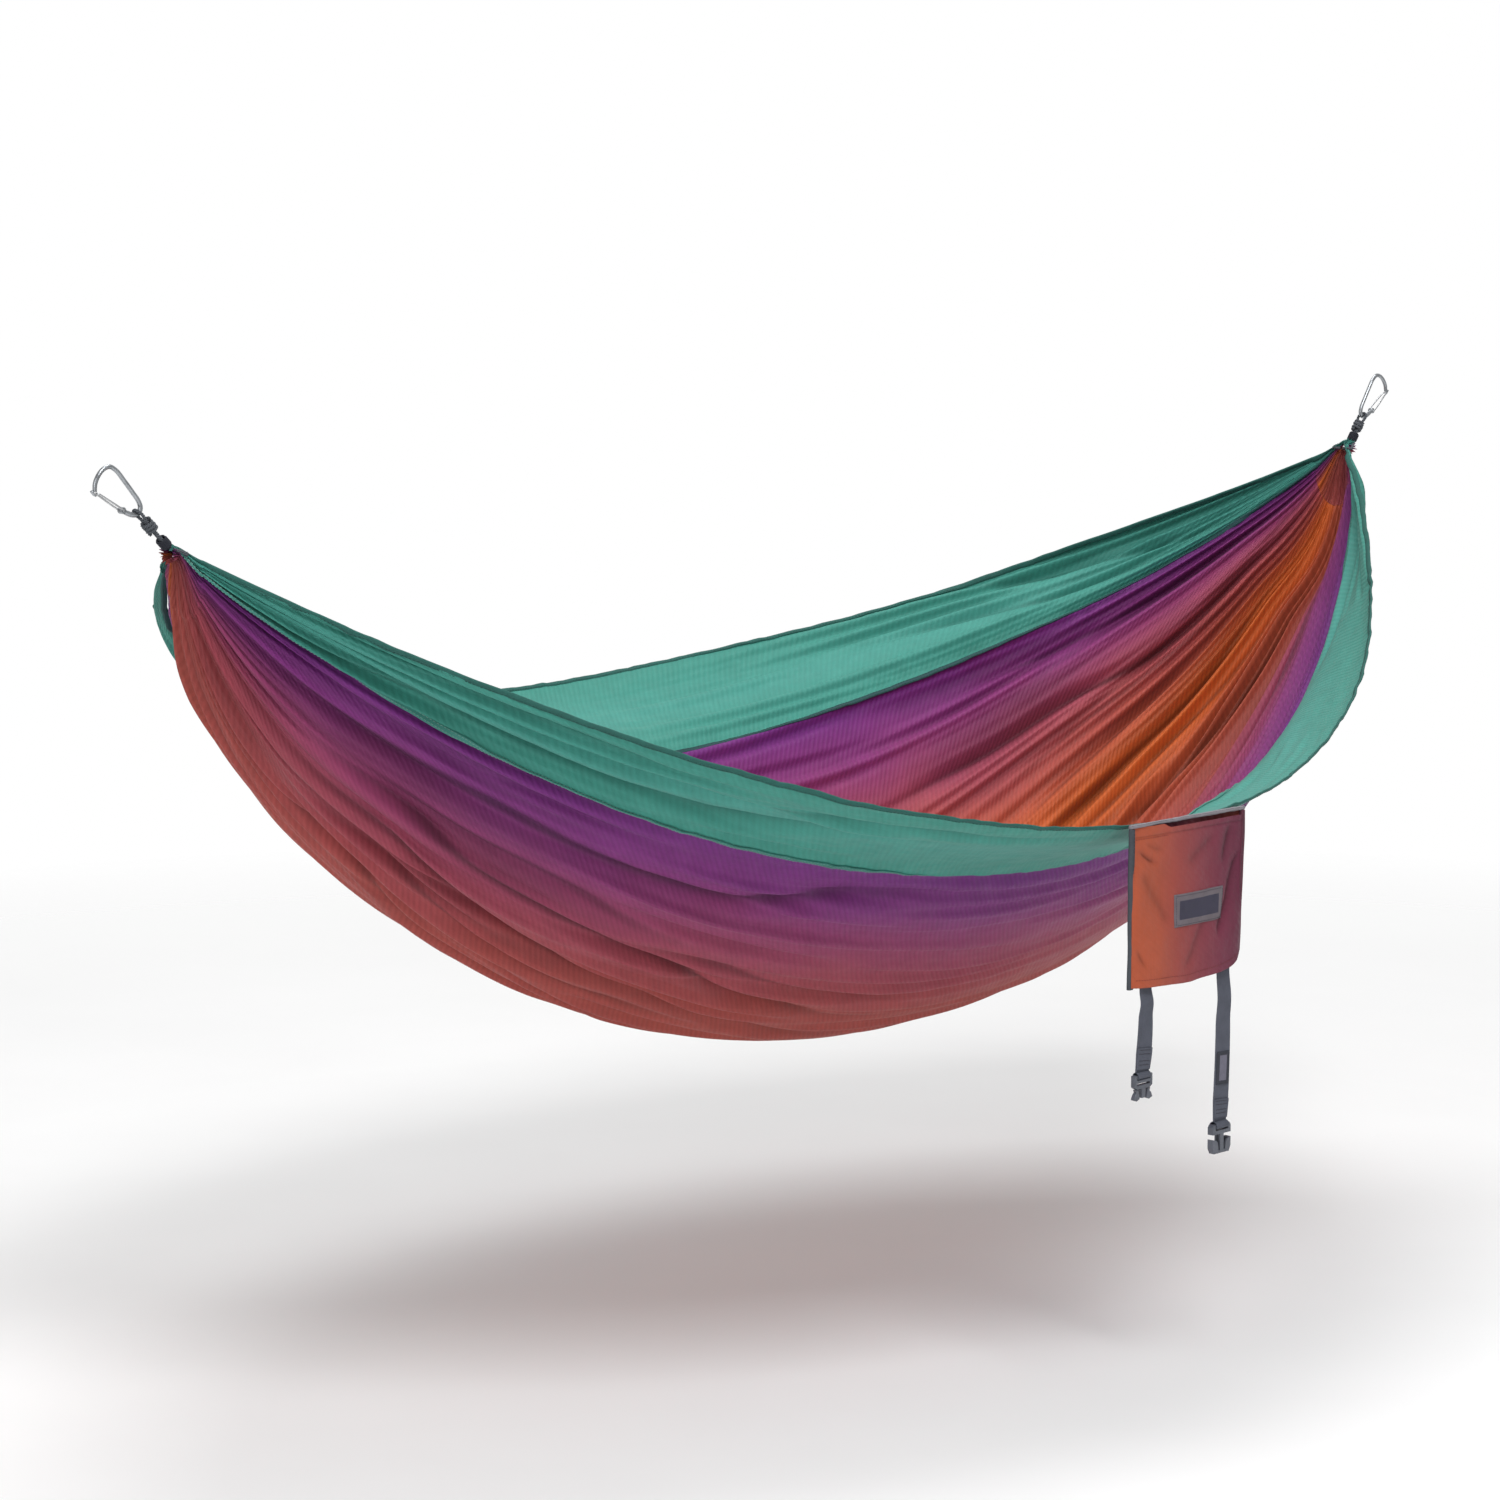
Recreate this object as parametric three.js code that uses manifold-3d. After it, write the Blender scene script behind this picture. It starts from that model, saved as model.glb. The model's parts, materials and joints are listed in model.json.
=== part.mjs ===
// Camping hammock: a three-panel nylon bed gathered at both ends on rope loops, hung from two
// wire-gate carabiners, with a stuff sack and its two buckled straps hanging from the near edge.
// Millimetres, +X along the bed, +Z up, -Y towards the near edge that carries the sack.
// The origin is midway between the two crowns that the carabiners hang from.
import * as THREE from "three";
import { mergeVertices } from "three/addons/utils/BufferGeometryUtils.js";
import Module from "manifold-3d";

const wasm = await Module();
wasm.setup();

// ---------- Driving dimensions ----------
const HANG_SPAN = 2370; // between the two hanging points, on the carabiners' crowns
const GAP = 0.35; // between pieces that touch
const ENDS = [
  // how each rope is tied and how its carabiner lies: run of the gathered cloth past the point
  // where its fibres meet, rope length, and the angles of rope and carabiner above level
  { name: "left", side: -1, collarRun: 8, ropeLength: 64, ropeAngle: 44, clipAngle: 49 },
  { name: "right", side: 1, collarRun: 14, ropeLength: 50, ropeAngle: 53, clipAngle: 55 },
];

// The bed is a fan of fibres from gather to gather. Each fibre lies in a plane through the line
// of gathers, at its own angle from straight down, and leaves that line by reach * profile.
const STATIONS = {
  angle: [-59.4, -40.7, 0, 46.5, 63.3], // near hem, near seam, keel, far seam, far hem
  reach: [704, 590, 704, 579, 697], // greatest distance from the line of gathers
  power: [0.99, 0.81, 0.631, 0.712, 0.793], // 1 is a parabola, less is fuller at the ends
  skew: [0.186, 0.03, -0.127, -0.029, 0.069], // moves the fullest place along the bed
};
const [NEAR_HEM, NEAR_SEAM, , FAR_SEAM, FAR_HEM] = STATIONS.angle;
const CLOTH = 3; // the panels' thickness here, where the real cloth is a tenth of a millimetre
const CLOTH_START = 0.009; // share of the span where the panels leave the gathered ends
const BINDING_RADIUS = 2.2;

const ROD_RADIUS = 2.7; // carabiner
const WIRE_RADIUS = 1.1; // its gate
const ROPE_RADIUS = 2;
const ROPE_STEPS = 56;
const KNOT_SHARE = 0.62; // where the knot sits along the rope
const STRAND_SPREAD = 2.6; // from a strand's middle to the rope's middle, where they are bound
const KNOT = { turn: 5.4, pitch: 4.2, lean: 0.2, core: 6.2 }; // three turns round a core
const WHIPPING = { radius: 6.6, length: 12, start: 7, chamfer: 1.4 };
const CHANNEL = { inboard: 6, down: 6 }; // the rope's channel, from where the fibres meet
const NECK = { past: 2, down: 5, halfWidth: 8, halfHeight: 6.5 }; // where the bunch closes
const BUNCH = { sides: 20, rows: 6, hemsShare: 0.8 }; // of its turn, the share that is the panels

const SACK = { left: -145, width: 220, height: 196, cloth: 1.4, bulge: 7.5 };
const SACK_HANGS = { out: 8, up: 2 }; // from the bed's near hem to the line the sack hangs on
const SACK_EDGE = 2.6; // radius of the sack's side bindings and top hem
const LABEL = { width: 98, height: 40, x: 17, down: 110, thick: 1.2 };
const WEBBING = { width: 25, thick: 1.6 };
const SHORT_STRAP = { x: -112, length: 102, lean: -5 };
const LONG_STRAP = { x: 38, length: 186, lean: -3 };
const STRAP_LABEL = { width: 21, height: 41, down: 119, thick: 0.8 };
const STRAP_DROP = 1.5; // from the sack's mouth to the hinge line of a strap
const STRAP_BOW = 1.6; // how far a strap bows forward at its middle
const BUCKLE_DROP = 2.2; // from a strap's end to the hinge line of its buckle
const BUCKLE_WIDTH = 34;
const PLUG_THICK = { frame: 7, arm: 5.6 };
const SOCKET = { thick: 9, wall: 3, face: 2, bar: { down: 6.4, slot: 3.2 }, mouthTop: -14 };
const THROUGH = 20; // depth of a cut that goes right through a buckle
const SOCKET_WINDOW = { rib: 3.4, slot: 7.6, top: -12.6, sill: -18.5, bottom: -33 };

// ---------- Small helpers ----------
const rad = THREE.MathUtils.degToRad;
const v3 = (x, y, z) => new THREE.Vector3(x, y, z);

// A smooth curve through (xs, ys) that never overshoots them: a monotone cubic.
function through(xs, ys, x) {
  const n = xs.length;
  const step = xs.slice(1).map((b, i) => b - xs[i]);
  const rise = step.map((h, i) => (ys[i + 1] - ys[i]) / h);
  const slope = xs.map((_, i) => {
    if (i === 0) return rise[0];
    if (i === n - 1) return rise[n - 2];
    if (rise[i - 1] * rise[i] <= 0) return 0;
    return (2 * rise[i - 1] * rise[i]) / (rise[i - 1] + rise[i]);
  });
  let i = 0;
  while (i < n - 2 && x > xs[i + 1]) i += 1;
  const t = (x - xs[i]) / step[i];
  const cubic = (1 + 2 * t) * (1 - t) ** 2 * ys[i] + t * t * (3 - 2 * t) * ys[i + 1];
  return cubic + step[i] * (t * (1 - t) ** 2 * slope[i] - t * t * (1 - t) * slope[i + 1]);
}

function material(colour, roughness, metalness = 0) {
  return new THREE.MeshStandardMaterial({ color: colour, roughness, metalness });
}

function solid(geometry) {
  const bare = geometry.clone();
  bare.deleteAttribute("normal");
  bare.deleteAttribute("uv");
  const merged = mergeVertices(bare, 1e-4);
  return new wasm.Manifold(
    new wasm.Mesh({
      numProp: 3,
      vertProperties: merged.attributes.position.array,
      triVerts: new Uint32Array(merged.index.array),
    }),
  );
}

function geometryOf(made) {
  const mesh = made.getMesh();
  const geometry = new THREE.BufferGeometry();
  geometry.setAttribute("position", new THREE.BufferAttribute(mesh.vertProperties, 3));
  geometry.setIndex(new THREE.BufferAttribute(mesh.triVerts, 1));
  geometry.computeVertexNormals();
  return geometry;
}

function joined(first, ...rest) {
  return rest.reduce((sum, next) => sum.add(solid(next)), solid(first));
}

// Moves every vertex of a geometry to where place(x, y, z) says.
function bend(geometry, place) {
  const position = geometry.attributes.position;
  for (let i = 0; i < position.count; i += 1) {
    const p = place(position.getX(i), position.getY(i), position.getZ(i));
    position.setXYZ(i, p.x, p.y, p.z);
  }
  geometry.deleteAttribute("uv");
  geometry.computeVertexNormals();
  return geometry;
}

function ovalSection(halfWidth, halfHeight, sides) {
  const points = [];
  for (let i = 0; i < sides; i += 1) {
    const a = (2 * Math.PI * (i + 0.5)) / sides;
    points.push(new THREE.Vector2(halfWidth * Math.cos(a), halfHeight * Math.sin(a)));
  }
  return new THREE.Shape(points);
}

function tube(points, radius, steps, sides = 8) {
  const path = new THREE.CatmullRomCurve3(points, false, "centripetal");
  return new THREE.ExtrudeGeometry(ovalSection(radius, radius, sides), {
    extrudePath: path,
    steps,
    curveSegments: 1,
  });
}

const hammock = new THREE.Group();

function addPart(name, geometry, finish, parent = hammock) {
  const mesh = new THREE.Mesh(geometry, finish);
  mesh.name = name;
  parent.add(mesh);
  return mesh;
}

// ---------- Where the two ends are ----------
// The middle of the flat bearing on a carabiner's crown, from its rope seat, in its own frame.
const CROWN = v3(64.4, 0, -4.5);

for (const end of ENDS) {
  const raised = (p, angle) => {
    const turned = p.clone().applyAxisAngle(v3(0, 1, 0), -rad(angle));
    return turned.setX(end.side * turned.x);
  };
  end.hang = v3((end.side * HANG_SPAN) / 2, 0, 0);
  end.seat = end.hang.clone().sub(raised(CROWN, end.clipAngle)); // where the rope rests
  end.collar = end.seat.clone().sub(raised(v3(end.ropeLength, 0, 0), end.ropeAngle));
  end.gather = end.collar.clone().sub(v3(end.side * end.collarRun, 0, 0));
}
const [LEFT, RIGHT] = ENDS;

// ---------- Bed ----------
function fibre(angle) {
  const at = (values) => through(STATIONS.angle, values, angle);
  return { reach: at(STATIONS.reach), power: at(STATIONS.power), skew: at(STATIONS.skew) };
}

function fibreReach(share, angle) {
  const { reach, power, skew } = fibre(angle);
  const s = share + (skew * share * (1 - share)) / 2;
  return reach * (4 * s * (1 - s)) ** power;
}

function bedPoint(share, angle) {
  const r = fibreReach(share, angle);
  const p = LEFT.gather.clone().lerp(RIGHT.gather, share);
  return p.add(v3(0, r * Math.sin(rad(angle)), -r * Math.cos(rad(angle))));
}

// The bed's inward normal, from small steps along and across the cloth.
function bedNormal(share, angle) {
  const along = bedPoint(share + 1e-4, angle).sub(bedPoint(share - 1e-4, angle));
  const across = bedPoint(share, angle + 0.05).sub(bedPoint(share, angle - 0.05));
  return along.cross(across).normalize();
}

// Closer steps near the gathers, where the fibres turn fastest.
function spread(t) {
  return 0.5 - 0.5 * Math.cos(Math.PI * t);
}

function panel(from, to, across, along) {
  const sheet = new THREE.BoxGeometry(1, 1, CLOTH, along, across, 1);
  return bend(sheet, (x, y, z) => {
    const share = CLOTH_START + (1 - 2 * CLOTH_START) * spread(x + 0.5);
    const low = from + THREE.MathUtils.radToDeg(GAP / fibreReach(share, from));
    const high = to - THREE.MathUtils.radToDeg(GAP / fibreReach(share, to));
    const angle = low + (high - low) * (y + 0.5);
    return bedPoint(share, angle).addScaledVector(bedNormal(share, angle), z);
  });
}

function edgeBinding(angle, outward) {
  const points = [];
  for (let i = 0; i <= 32; i += 1) {
    const share = CLOTH_START + (1 - 2 * CLOTH_START) * spread(i / 32);
    const outwards = bedPoint(share, angle + 0.05).sub(bedPoint(share, angle - 0.05));
    outwards.normalize().multiplyScalar(outward * (BINDING_RADIUS + GAP));
    points.push(bedPoint(share, angle).add(outwards));
  }
  return tube(points, BINDING_RADIUS, 40, 6);
}

// Cloth bunched on the rope: from the open end of the bed down to a round neck, with the rope's
// channel bored across it.
function gatheredEnd(end) {
  const lastShare = end.side < 0 ? CLOTH_START : 1 - CLOTH_START;
  const bunch = new THREE.CylinderGeometry(1, 1, 1, BUNCH.sides, BUNCH.rows);
  const neck = end.gather.clone().add(v3(end.side * NECK.past, 0, -NECK.down));
  bend(bunch, (x, y, z) => {
    const open = 0.5 - y; // 0 at the neck, 1 at the bed
    const size = Math.hypot(x, z);
    const turn = (Math.atan2(z, -end.side * x) / (2 * Math.PI) + 1) % 1;
    const sweep = NEAR_HEM + (FAR_HEM - NEAR_HEM) * Math.min(turn / BUNCH.hemsShare, 1);
    const closing = Math.max(turn - BUNCH.hemsShare, 0) / (1 - BUNCH.hemsShare);
    const rim = bedPoint(lastShare, sweep).lerp(bedPoint(lastShare, NEAR_HEM), closing);
    rim.x += end.side * (GAP + CLOTH * 0.4);
    const hub = bedPoint(lastShare, 0).lerp(bedPoint(lastShare, NEAR_HEM), 0.5);
    hub.set(rim.x, 0, hub.z);
    const a = 2 * Math.PI * turn - Math.PI * BUNCH.hemsShare;
    const ring = neck.clone();
    ring.add(v3(0, NECK.halfWidth * Math.sin(a), -NECK.halfHeight * Math.cos(a)));
    const ease = open * open * (3 - 2 * open);
    const outer = ring.lerp(rim, ease);
    outer.x = THREE.MathUtils.lerp(neck.x, rim.x, open);
    const middle = neck.clone().lerp(hub, open);
    return middle.lerp(outer, size);
  });
  const bore = new THREE.CylinderGeometry(ROPE_RADIUS + 2 * GAP, ROPE_RADIUS + 2 * GAP, 60, 12);
  const channel = channelPoint(end);
  bore.translate(channel.x, 0, channel.z);
  return geometryOf(solid(bunch).subtract(solid(bore)));
}

function channelPoint(end) {
  return end.gather.clone().add(v3(-end.side * CHANNEL.inboard, 0, -CHANNEL.down));
}

// ---------- Suspension ropes ----------
// One rope runs through the channel, up both sides of the bunch, through the whipping and the
// knot, and round the carabiner's rod.
function ropePath(end) {
  const along = end.seat.clone().sub(end.collar).normalize();
  const at = (distance, y) => end.collar.clone().addScaledVector(along, distance).setY(y);
  const low = channelPoint(end);
  const side = (dx, y, dz) => low.clone().add(v3(end.side * dx, y, dz));
  const length = end.ropeLength;
  const half = [
    side(0, 3, 0),
    side(0, 13, 0),
    side(1.8, 16, 0.9),
    side(7, 13.5, 3.5),
    at(1, 5.5),
    at(6, STRAND_SPREAD),
    at(length * KNOT_SHARE, 2.5),
    at(length - 12, 4.2),
    at(length - 6, 6.2),
    at(length - 1.5, 5.8),
    at(length + 1.6, 3.4),
  ];
  const back = half.map((p) => p.clone().setY(-p.y)).reverse();
  return [...half, at(length + 2.9, 0), ...back];
}

function suspensionRope(end) {
  const loop = tube(ropePath(end), ROPE_RADIUS, ROPE_STEPS);
  const bridge = new THREE.CylinderGeometry(ROPE_RADIUS, ROPE_RADIUS, 8, 8);
  const low = channelPoint(end);
  bridge.rotateY(Math.PI / 8);
  bridge.translate(low.x, 0, low.z);
  const knot = [];
  for (const shift of [-KNOT.pitch, 0, KNOT.pitch]) {
    const turn = new THREE.TorusGeometry(KNOT.turn, ROPE_RADIUS, 5, 10);
    turn.rotateY(Math.PI / 2 + KNOT.lean);
    turn.translate(shift, 0, 0);
    knot.push(turn);
  }
  const core = new THREE.SphereGeometry(KNOT.core, 8, 6);
  core.scale(1.15, 1, 1);
  knot.push(core);
  const along = end.seat.clone().sub(end.collar);
  const middle = end.collar.clone().addScaledVector(along, KNOT_SHARE);
  for (const piece of knot) {
    piece.rotateY(-Math.atan2(along.z, along.x));
    piece.translate(middle.x, middle.y, middle.z);
  }
  return geometryOf(joined(loop, bridge, ...knot));
}

// The whipping that binds the two strands together above the bunch.
function whipping(end) {
  const { radius, length, start, chamfer } = WHIPPING;
  const outline = [[0, 0], [radius - chamfer, 0], [radius, chamfer], [radius, length - chamfer]];
  outline.push([radius - chamfer, length], [0, length]);
  const wrap = new THREE.LatheGeometry(outline.map(([r, y]) => new THREE.Vector2(r, y)), 16);
  const passage = new THREE.Shape();
  passage.absarc(STRAND_SPREAD, 0, ROPE_RADIUS + GAP, -Math.PI / 2, Math.PI / 2);
  passage.absarc(-STRAND_SPREAD, 0, ROPE_RADIUS + GAP, Math.PI / 2, 1.5 * Math.PI);
  const strands = new THREE.ExtrudeGeometry(passage, {
    depth: length + 2,
    bevelEnabled: false,
    curveSegments: 6,
  });
  strands.rotateX(-Math.PI / 2);
  strands.translate(0, -1, 0);
  const made = geometryOf(solid(wrap).subtract(solid(strands)));
  made.rotateZ(-Math.PI / 2);
  made.translate(start, 0, 0);
  const along = end.seat.clone().sub(end.collar);
  made.rotateY(-Math.atan2(along.z, along.x));
  made.translate(end.collar.x, end.collar.y, end.collar.z);
  return made;
}

// ---------- Carabiners ----------
// In their own frame: x from the rope seat to the crown, z towards the spine.
const GATE_PIVOT = v3(16, 0, -13.7);
const NOSE = v3(57.5, 0, -27);
const CLIP_LINE = [
  [16, -13.7], [8.5, -10.4], [1.6, -6], [-2.5, 0], [-0.6, 6.6], [6.5, 9.9], [20, 10.6], [38, 10.8],
  [54, 10.4], [64, 6.4], [68, -2.5], [67.3, -12.5], [63.6, -21], [57.5, -27],
];

function clipGroup(end) {
  const group = new THREE.Group();
  group.position.copy(end.seat);
  group.rotation.set(0, -rad(end.clipAngle), 0);
  if (end.side < 0) group.rotation.set(0, -rad(end.clipAngle), Math.PI, "ZYX");
  hammock.add(group);
  return group;
}

function clipBody() {
  const points = CLIP_LINE.map(([x, z]) => v3(x, 0, z));
  const rod = tube(points, ROD_RADIUS, 44, 8);
  const boss = new THREE.CylinderGeometry(3.9, 3.9, 6.4, 16);
  boss.translate(GATE_PIVOT.x, 0, GATE_PIVOT.z);
  const gateLine = NOSE.clone().sub(GATE_PIVOT);
  const lip = new THREE.BoxGeometry(9, 4.6, 1.6);
  lip.translate(-0.4, 0, -2.4);
  const heel = new THREE.BoxGeometry(5, 4.6, 4.6);
  heel.translate(2.1, 0, -0.9);
  for (const piece of [lip, heel]) {
    piece.rotateY(-Math.atan2(gateLine.z, gateLine.x));
    piece.translate(NOSE.x, 0, NOSE.z);
  }
  const bearing = new THREE.BoxGeometry(3, 4.4, 7);
  bearing.translate(CROWN.x + 1.5, 0, CROWN.z);
  const pinHole = new THREE.CylinderGeometry(WIRE_RADIUS + GAP, WIRE_RADIUS + GAP, 12, 12);
  pinHole.translate(GATE_PIVOT.x, 0, GATE_PIVOT.z);
  return geometryOf(joined(rod, boss, lip, heel, bearing).subtract(solid(pinHole)));
}

function wireGate() {
  const reachTo = NOSE.clone().sub(GATE_PIVOT);
  const length = reachTo.length() - 2.2;
  const out = 4.9;
  const half = [
    v3(0, 1.9, 0),
    v3(0, 3.6, 0),
    v3(0.5, out - 0.25, 0),
    v3(1.8, out, 0),
    v3(length * 0.35, out - 0.1, 0),
    v3(length * 0.7, 3.7, 0),
    v3(length - 3.4, 2.9, 0),
    v3(length - 1.4, 1.9, 0),
  ];
  const back = half.map((p) => p.clone().setY(-p.y)).reverse();
  const wire = tube([...half, v3(length - 1, 0, 0), ...back], WIRE_RADIUS, 32, 6);
  wire.rotateY(-Math.atan2(reachTo.z, reachTo.x));
  wire.translate(GATE_PIVOT.x, 0, GATE_PIVOT.z);
  return wire;
}

// ---------- Stuff sack ----------
// In its own frame: x along the hem, z up, with the hinge line of the hem at the origin.
const HEM_SHARE = (SACK.left + SACK.width / 2 - LEFT.gather.x) / (RIGHT.gather.x - LEFT.gather.x);
const HEM = bedPoint(HEM_SHARE, NEAR_HEM);
const SACK_HINGE = v3(SACK.left + SACK.width / 2, HEM.y - SACK_HANGS.out, HEM.z + SACK_HANGS.up);
const sack = new THREE.Group();
sack.position.copy(SACK_HINGE);
hammock.add(sack);

// How far the pouch stands open, front and back alike: most in the middle of the mouth.
function pouch(x, down) {
  const across = Math.sqrt(Math.max(1 - (2 * x / SACK.width) ** 2, 0));
  return 1.6 + SACK.bulge * across * Math.sin((Math.PI / 2) * Math.min(down / SACK.height, 1));
}

function sackPanel(side) {
  const width = SACK.width - 2 * (2 * SACK_EDGE + GAP);
  const height = SACK.height - SACK_EDGE - GAP;
  const sheet = new THREE.BoxGeometry(width, SACK.cloth, height, 10, 1, 6);
  sheet.translate(0, 0, -SACK_EDGE - GAP - height / 2);
  return bend(sheet, (x, y, z) => v3(x, side * pouch(x, -z) + y, z));
}

function sackSideBinding(side) {
  const x = side * (SACK.width / 2 - SACK_EDGE);
  const binding = new THREE.CylinderGeometry(SACK_EDGE, SACK_EDGE, SACK.height - SACK_EDGE - GAP, 8);
  binding.rotateX(Math.PI / 2);
  binding.translate(x, 0, -(SACK.height + SACK_EDGE + GAP) / 2);
  return binding;
}

function sackTopHem() {
  const hem = new THREE.CylinderGeometry(SACK_EDGE, SACK_EDGE, SACK.width, 10, 1);
  hem.rotateZ(Math.PI / 2);
  return hem;
}

function sackLabel() {
  const { width, height, x, down, thick } = LABEL;
  const patch = new THREE.BoxGeometry(width, thick, height, 8, 1, 4);
  patch.translate(x, 0, -down);
  const off = SACK.cloth / 2 + GAP + thick / 2;
  return bend(patch, (px, py, pz) => v3(px, -pouch(px, -pz) - off + py, pz));
}

// ---------- Straps and buckles ----------
function strapGroup({ x }) {
  const group = new THREE.Group();
  group.position.set(x - SACK_HINGE.x, 0, -SACK.height - STRAP_DROP);
  sack.add(group);
  return group;
}

// A strap hangs from the mouth in a slight bow, sideways and fore and aft.
function strapPoint({ length, lean }, t) {
  return v3(lean * t * t, -STRAP_BOW * Math.sin(Math.PI * t), -1 - (length - 1) * t);
}

function webbing(strap) {
  const { width, thick } = WEBBING;
  const w = width / 2;
  const h = thick / 2;
  const corner = 0.4;
  const outline = [
    [w, h - corner], [w - corner, h], [corner - w, h], [-w, h - corner],
    [-w, corner - h], [corner - w, -h], [w - corner, -h], [w, corner - h],
  ];
  const section = new THREE.Shape(outline.map(([a, b]) => new THREE.Vector2(a, b)));
  const route = [];
  for (let i = 0; i <= 8; i += 1) route.push(strapPoint(strap, i / 8));
  return new THREE.ExtrudeGeometry(section, {
    extrudePath: new THREE.CatmullRomCurve3(route, false, "centripetal"),
    steps: 10,
    curveSegments: 1,
  });
}

// The small blank label sewn to the long strap's front.
function strapLabel() {
  const { width, height, down, thick } = STRAP_LABEL;
  const patch = new THREE.BoxGeometry(width, thick, height, 1, 1, 5);
  patch.translate(0, 0, -down);
  const off = WEBBING.thick / 2 + GAP + thick / 2;
  return bend(patch, (x, y, z) => {
    const middle = strapPoint(LONG_STRAP, (-z - 1) / (LONG_STRAP.length - 1));
    return v3(middle.x + x, middle.y - off + y, z);
  });
}

// A moulded outline, thick along y and centred on it.
function moulded(outline, thick, holes = []) {
  const shape = new THREE.Shape(outline.map(([x, z]) => new THREE.Vector2(x, z)));
  for (const hole of holes) {
    shape.holes.push(new THREE.Path(hole.map(([x, z]) => new THREE.Vector2(x, z))));
  }
  const geometry = new THREE.ExtrudeGeometry(shape, {
    depth: thick - 1.2,
    bevelEnabled: true,
    bevelThickness: 0.6,
    bevelSize: 0.6,
    bevelSegments: 1,
    curveSegments: 6,
  });
  geometry.rotateX(Math.PI / 2);
  geometry.translate(0, thick / 2 - 0.6, 0);
  return geometry;
}

function rectangle(x0, x1, z0, z1) {
  return [[x0, z0], [x1, z0], [x1, z1], [x0, z1]];
}

// Plug half of the side-release buckle: a frame with two webbing bars and a guide tongue.
function plugBody() {
  const w = BUCKLE_WIDTH / 2 - 1;
  const frame = [
    [-w, -1], [w, -1], [w, -14], [w - 4, -16.5], [3.4, -16.5], [2.4, -28], [-2.4, -28], [-3.4, -16.5],
    [4 - w, -16.5], [-w, -14],
  ];
  const slots = [rectangle(3.2 - w, w - 3.2, -6.6, -3.6), rectangle(3.2 - w, w - 3.2, -13, -9.4)];
  return moulded(frame, PLUG_THICK.frame, slots);
}

// One springy side arm, from its root at the frame down to the barb.
function plugArm(side) {
  const w = BUCKLE_WIDTH / 2 - 1;
  const arm = [
    [w - 6.6, -18.2], [w - 3.2, -18.2], [w - 4.4, -21.5], [w - 1.4, -24], [w + 1, -29], [w - 4.2, -31],
    [w - 9, -29], [w - 7.2, -22.5],
  ];
  return moulded(arm.map(([x, z]) => [side * x, z]), PLUG_THICK.arm);
}

// Socket half: a flat hollow housing open at the bottom, with one webbing bar. Beside the middle
// rib each side is cut right through, wide at the top and narrow below, where the barbs lock.
function socketBody() {
  const w = BUCKLE_WIDTH / 2;
  const shell = moulded([
    [2 - w, -1], [w - 2, -1], [w, -4], [w, -30], [w - 3, -36], [3 - w, -36], [-w, -30], [-w, -4],
  ], SOCKET.thick);
  const slot = new THREE.BoxGeometry(2 * w - 3 * SOCKET.wall, THROUGH, SOCKET.bar.slot);
  slot.translate(0, 0, -SOCKET.bar.down);
  const hollow = SOCKET.thick - 2 * SOCKET.face;
  const mouth = new THREE.BoxGeometry(2 * w - 2 * SOCKET.wall, hollow, 24);
  mouth.translate(0, 0, SOCKET.mouthTop - 12);
  let housing = solid(shell).subtract(solid(slot)).subtract(solid(mouth));
  for (const side of [-1, 1]) housing = housing.subtract(solid(socketWindow(side, w)));
  return geometryOf(housing);
}

function socketWindow(side, w) {
  const { rib, slot, top, sill, bottom } = SOCKET_WINDOW;
  const outline = new THREE.Shape();
  outline.moveTo(side * rib, top);
  outline.lineTo(side * (w + 2), top);
  outline.lineTo(side * (w + 2), sill);
  outline.quadraticCurveTo(side * slot, sill - 1, side * slot, sill - 7);
  outline.lineTo(side * (slot - 1), bottom);
  outline.lineTo(side * rib, bottom);
  const cut = new THREE.ExtrudeGeometry(outline, {
    depth: THROUGH,
    bevelEnabled: false,
    curveSegments: 5,
  });
  cut.rotateX(Math.PI / 2);
  cut.translate(0, THROUGH / 2, 0);
  return cut;
}

// ---------- Materials ----------
const TEAL = () => material(0x3f9a86, 0.75);
const SUNSET = () => material(0x9c4560, 0.75);
const TRIM = () => material(0x2f4a50, 0.8);
const CORD = () => material(0x5d6168, 0.85);
const WEBBING_GREY = () => material(0x4b4e57, 0.85);
const STEEL = () => material(0x8d9297, 0.35, 0.9);
const PLASTIC = () => material(0x4a4d55, 0.5);
const LABEL_GREY = () => material(0x4a4656, 0.8);

// ---------- Assembly ----------
addPart("near_side_panel", panel(NEAR_HEM, NEAR_SEAM, 2, 32), TEAL());
addPart("centre_panel", panel(NEAR_SEAM, FAR_SEAM, 8, 32), SUNSET());
addPart("far_side_panel", panel(FAR_SEAM, FAR_HEM, 2, 32), TEAL());
addPart("near_edge_binding", edgeBinding(NEAR_HEM, -1), TRIM());
addPart("far_edge_binding", edgeBinding(FAR_HEM, 1), TRIM());
for (const end of ENDS) {
  addPart(`${end.name}_gathered_end`, gatheredEnd(end), SUNSET());
  addPart(`${end.name}_rope`, suspensionRope(end), CORD());
  addPart(`${end.name}_whipping`, whipping(end), TRIM());
  const clip = clipGroup(end);
  addPart(`${end.name}_carabiner_body`, clipBody(), STEEL(), clip);
  addPart(`${end.name}_carabiner_gate`, wireGate(), STEEL(), clip);
}

addPart("sack_front_panel", sackPanel(-1), SUNSET(), sack);
addPart("sack_back_panel", sackPanel(1), SUNSET(), sack);
addPart("sack_left_binding", sackSideBinding(-1), TRIM(), sack);
addPart("sack_right_binding", sackSideBinding(1), TRIM(), sack);
addPart("sack_top_hem", sackTopHem(), TRIM(), sack);
addPart("sack_label", sackLabel(), LABEL_GREY(), sack);

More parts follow.
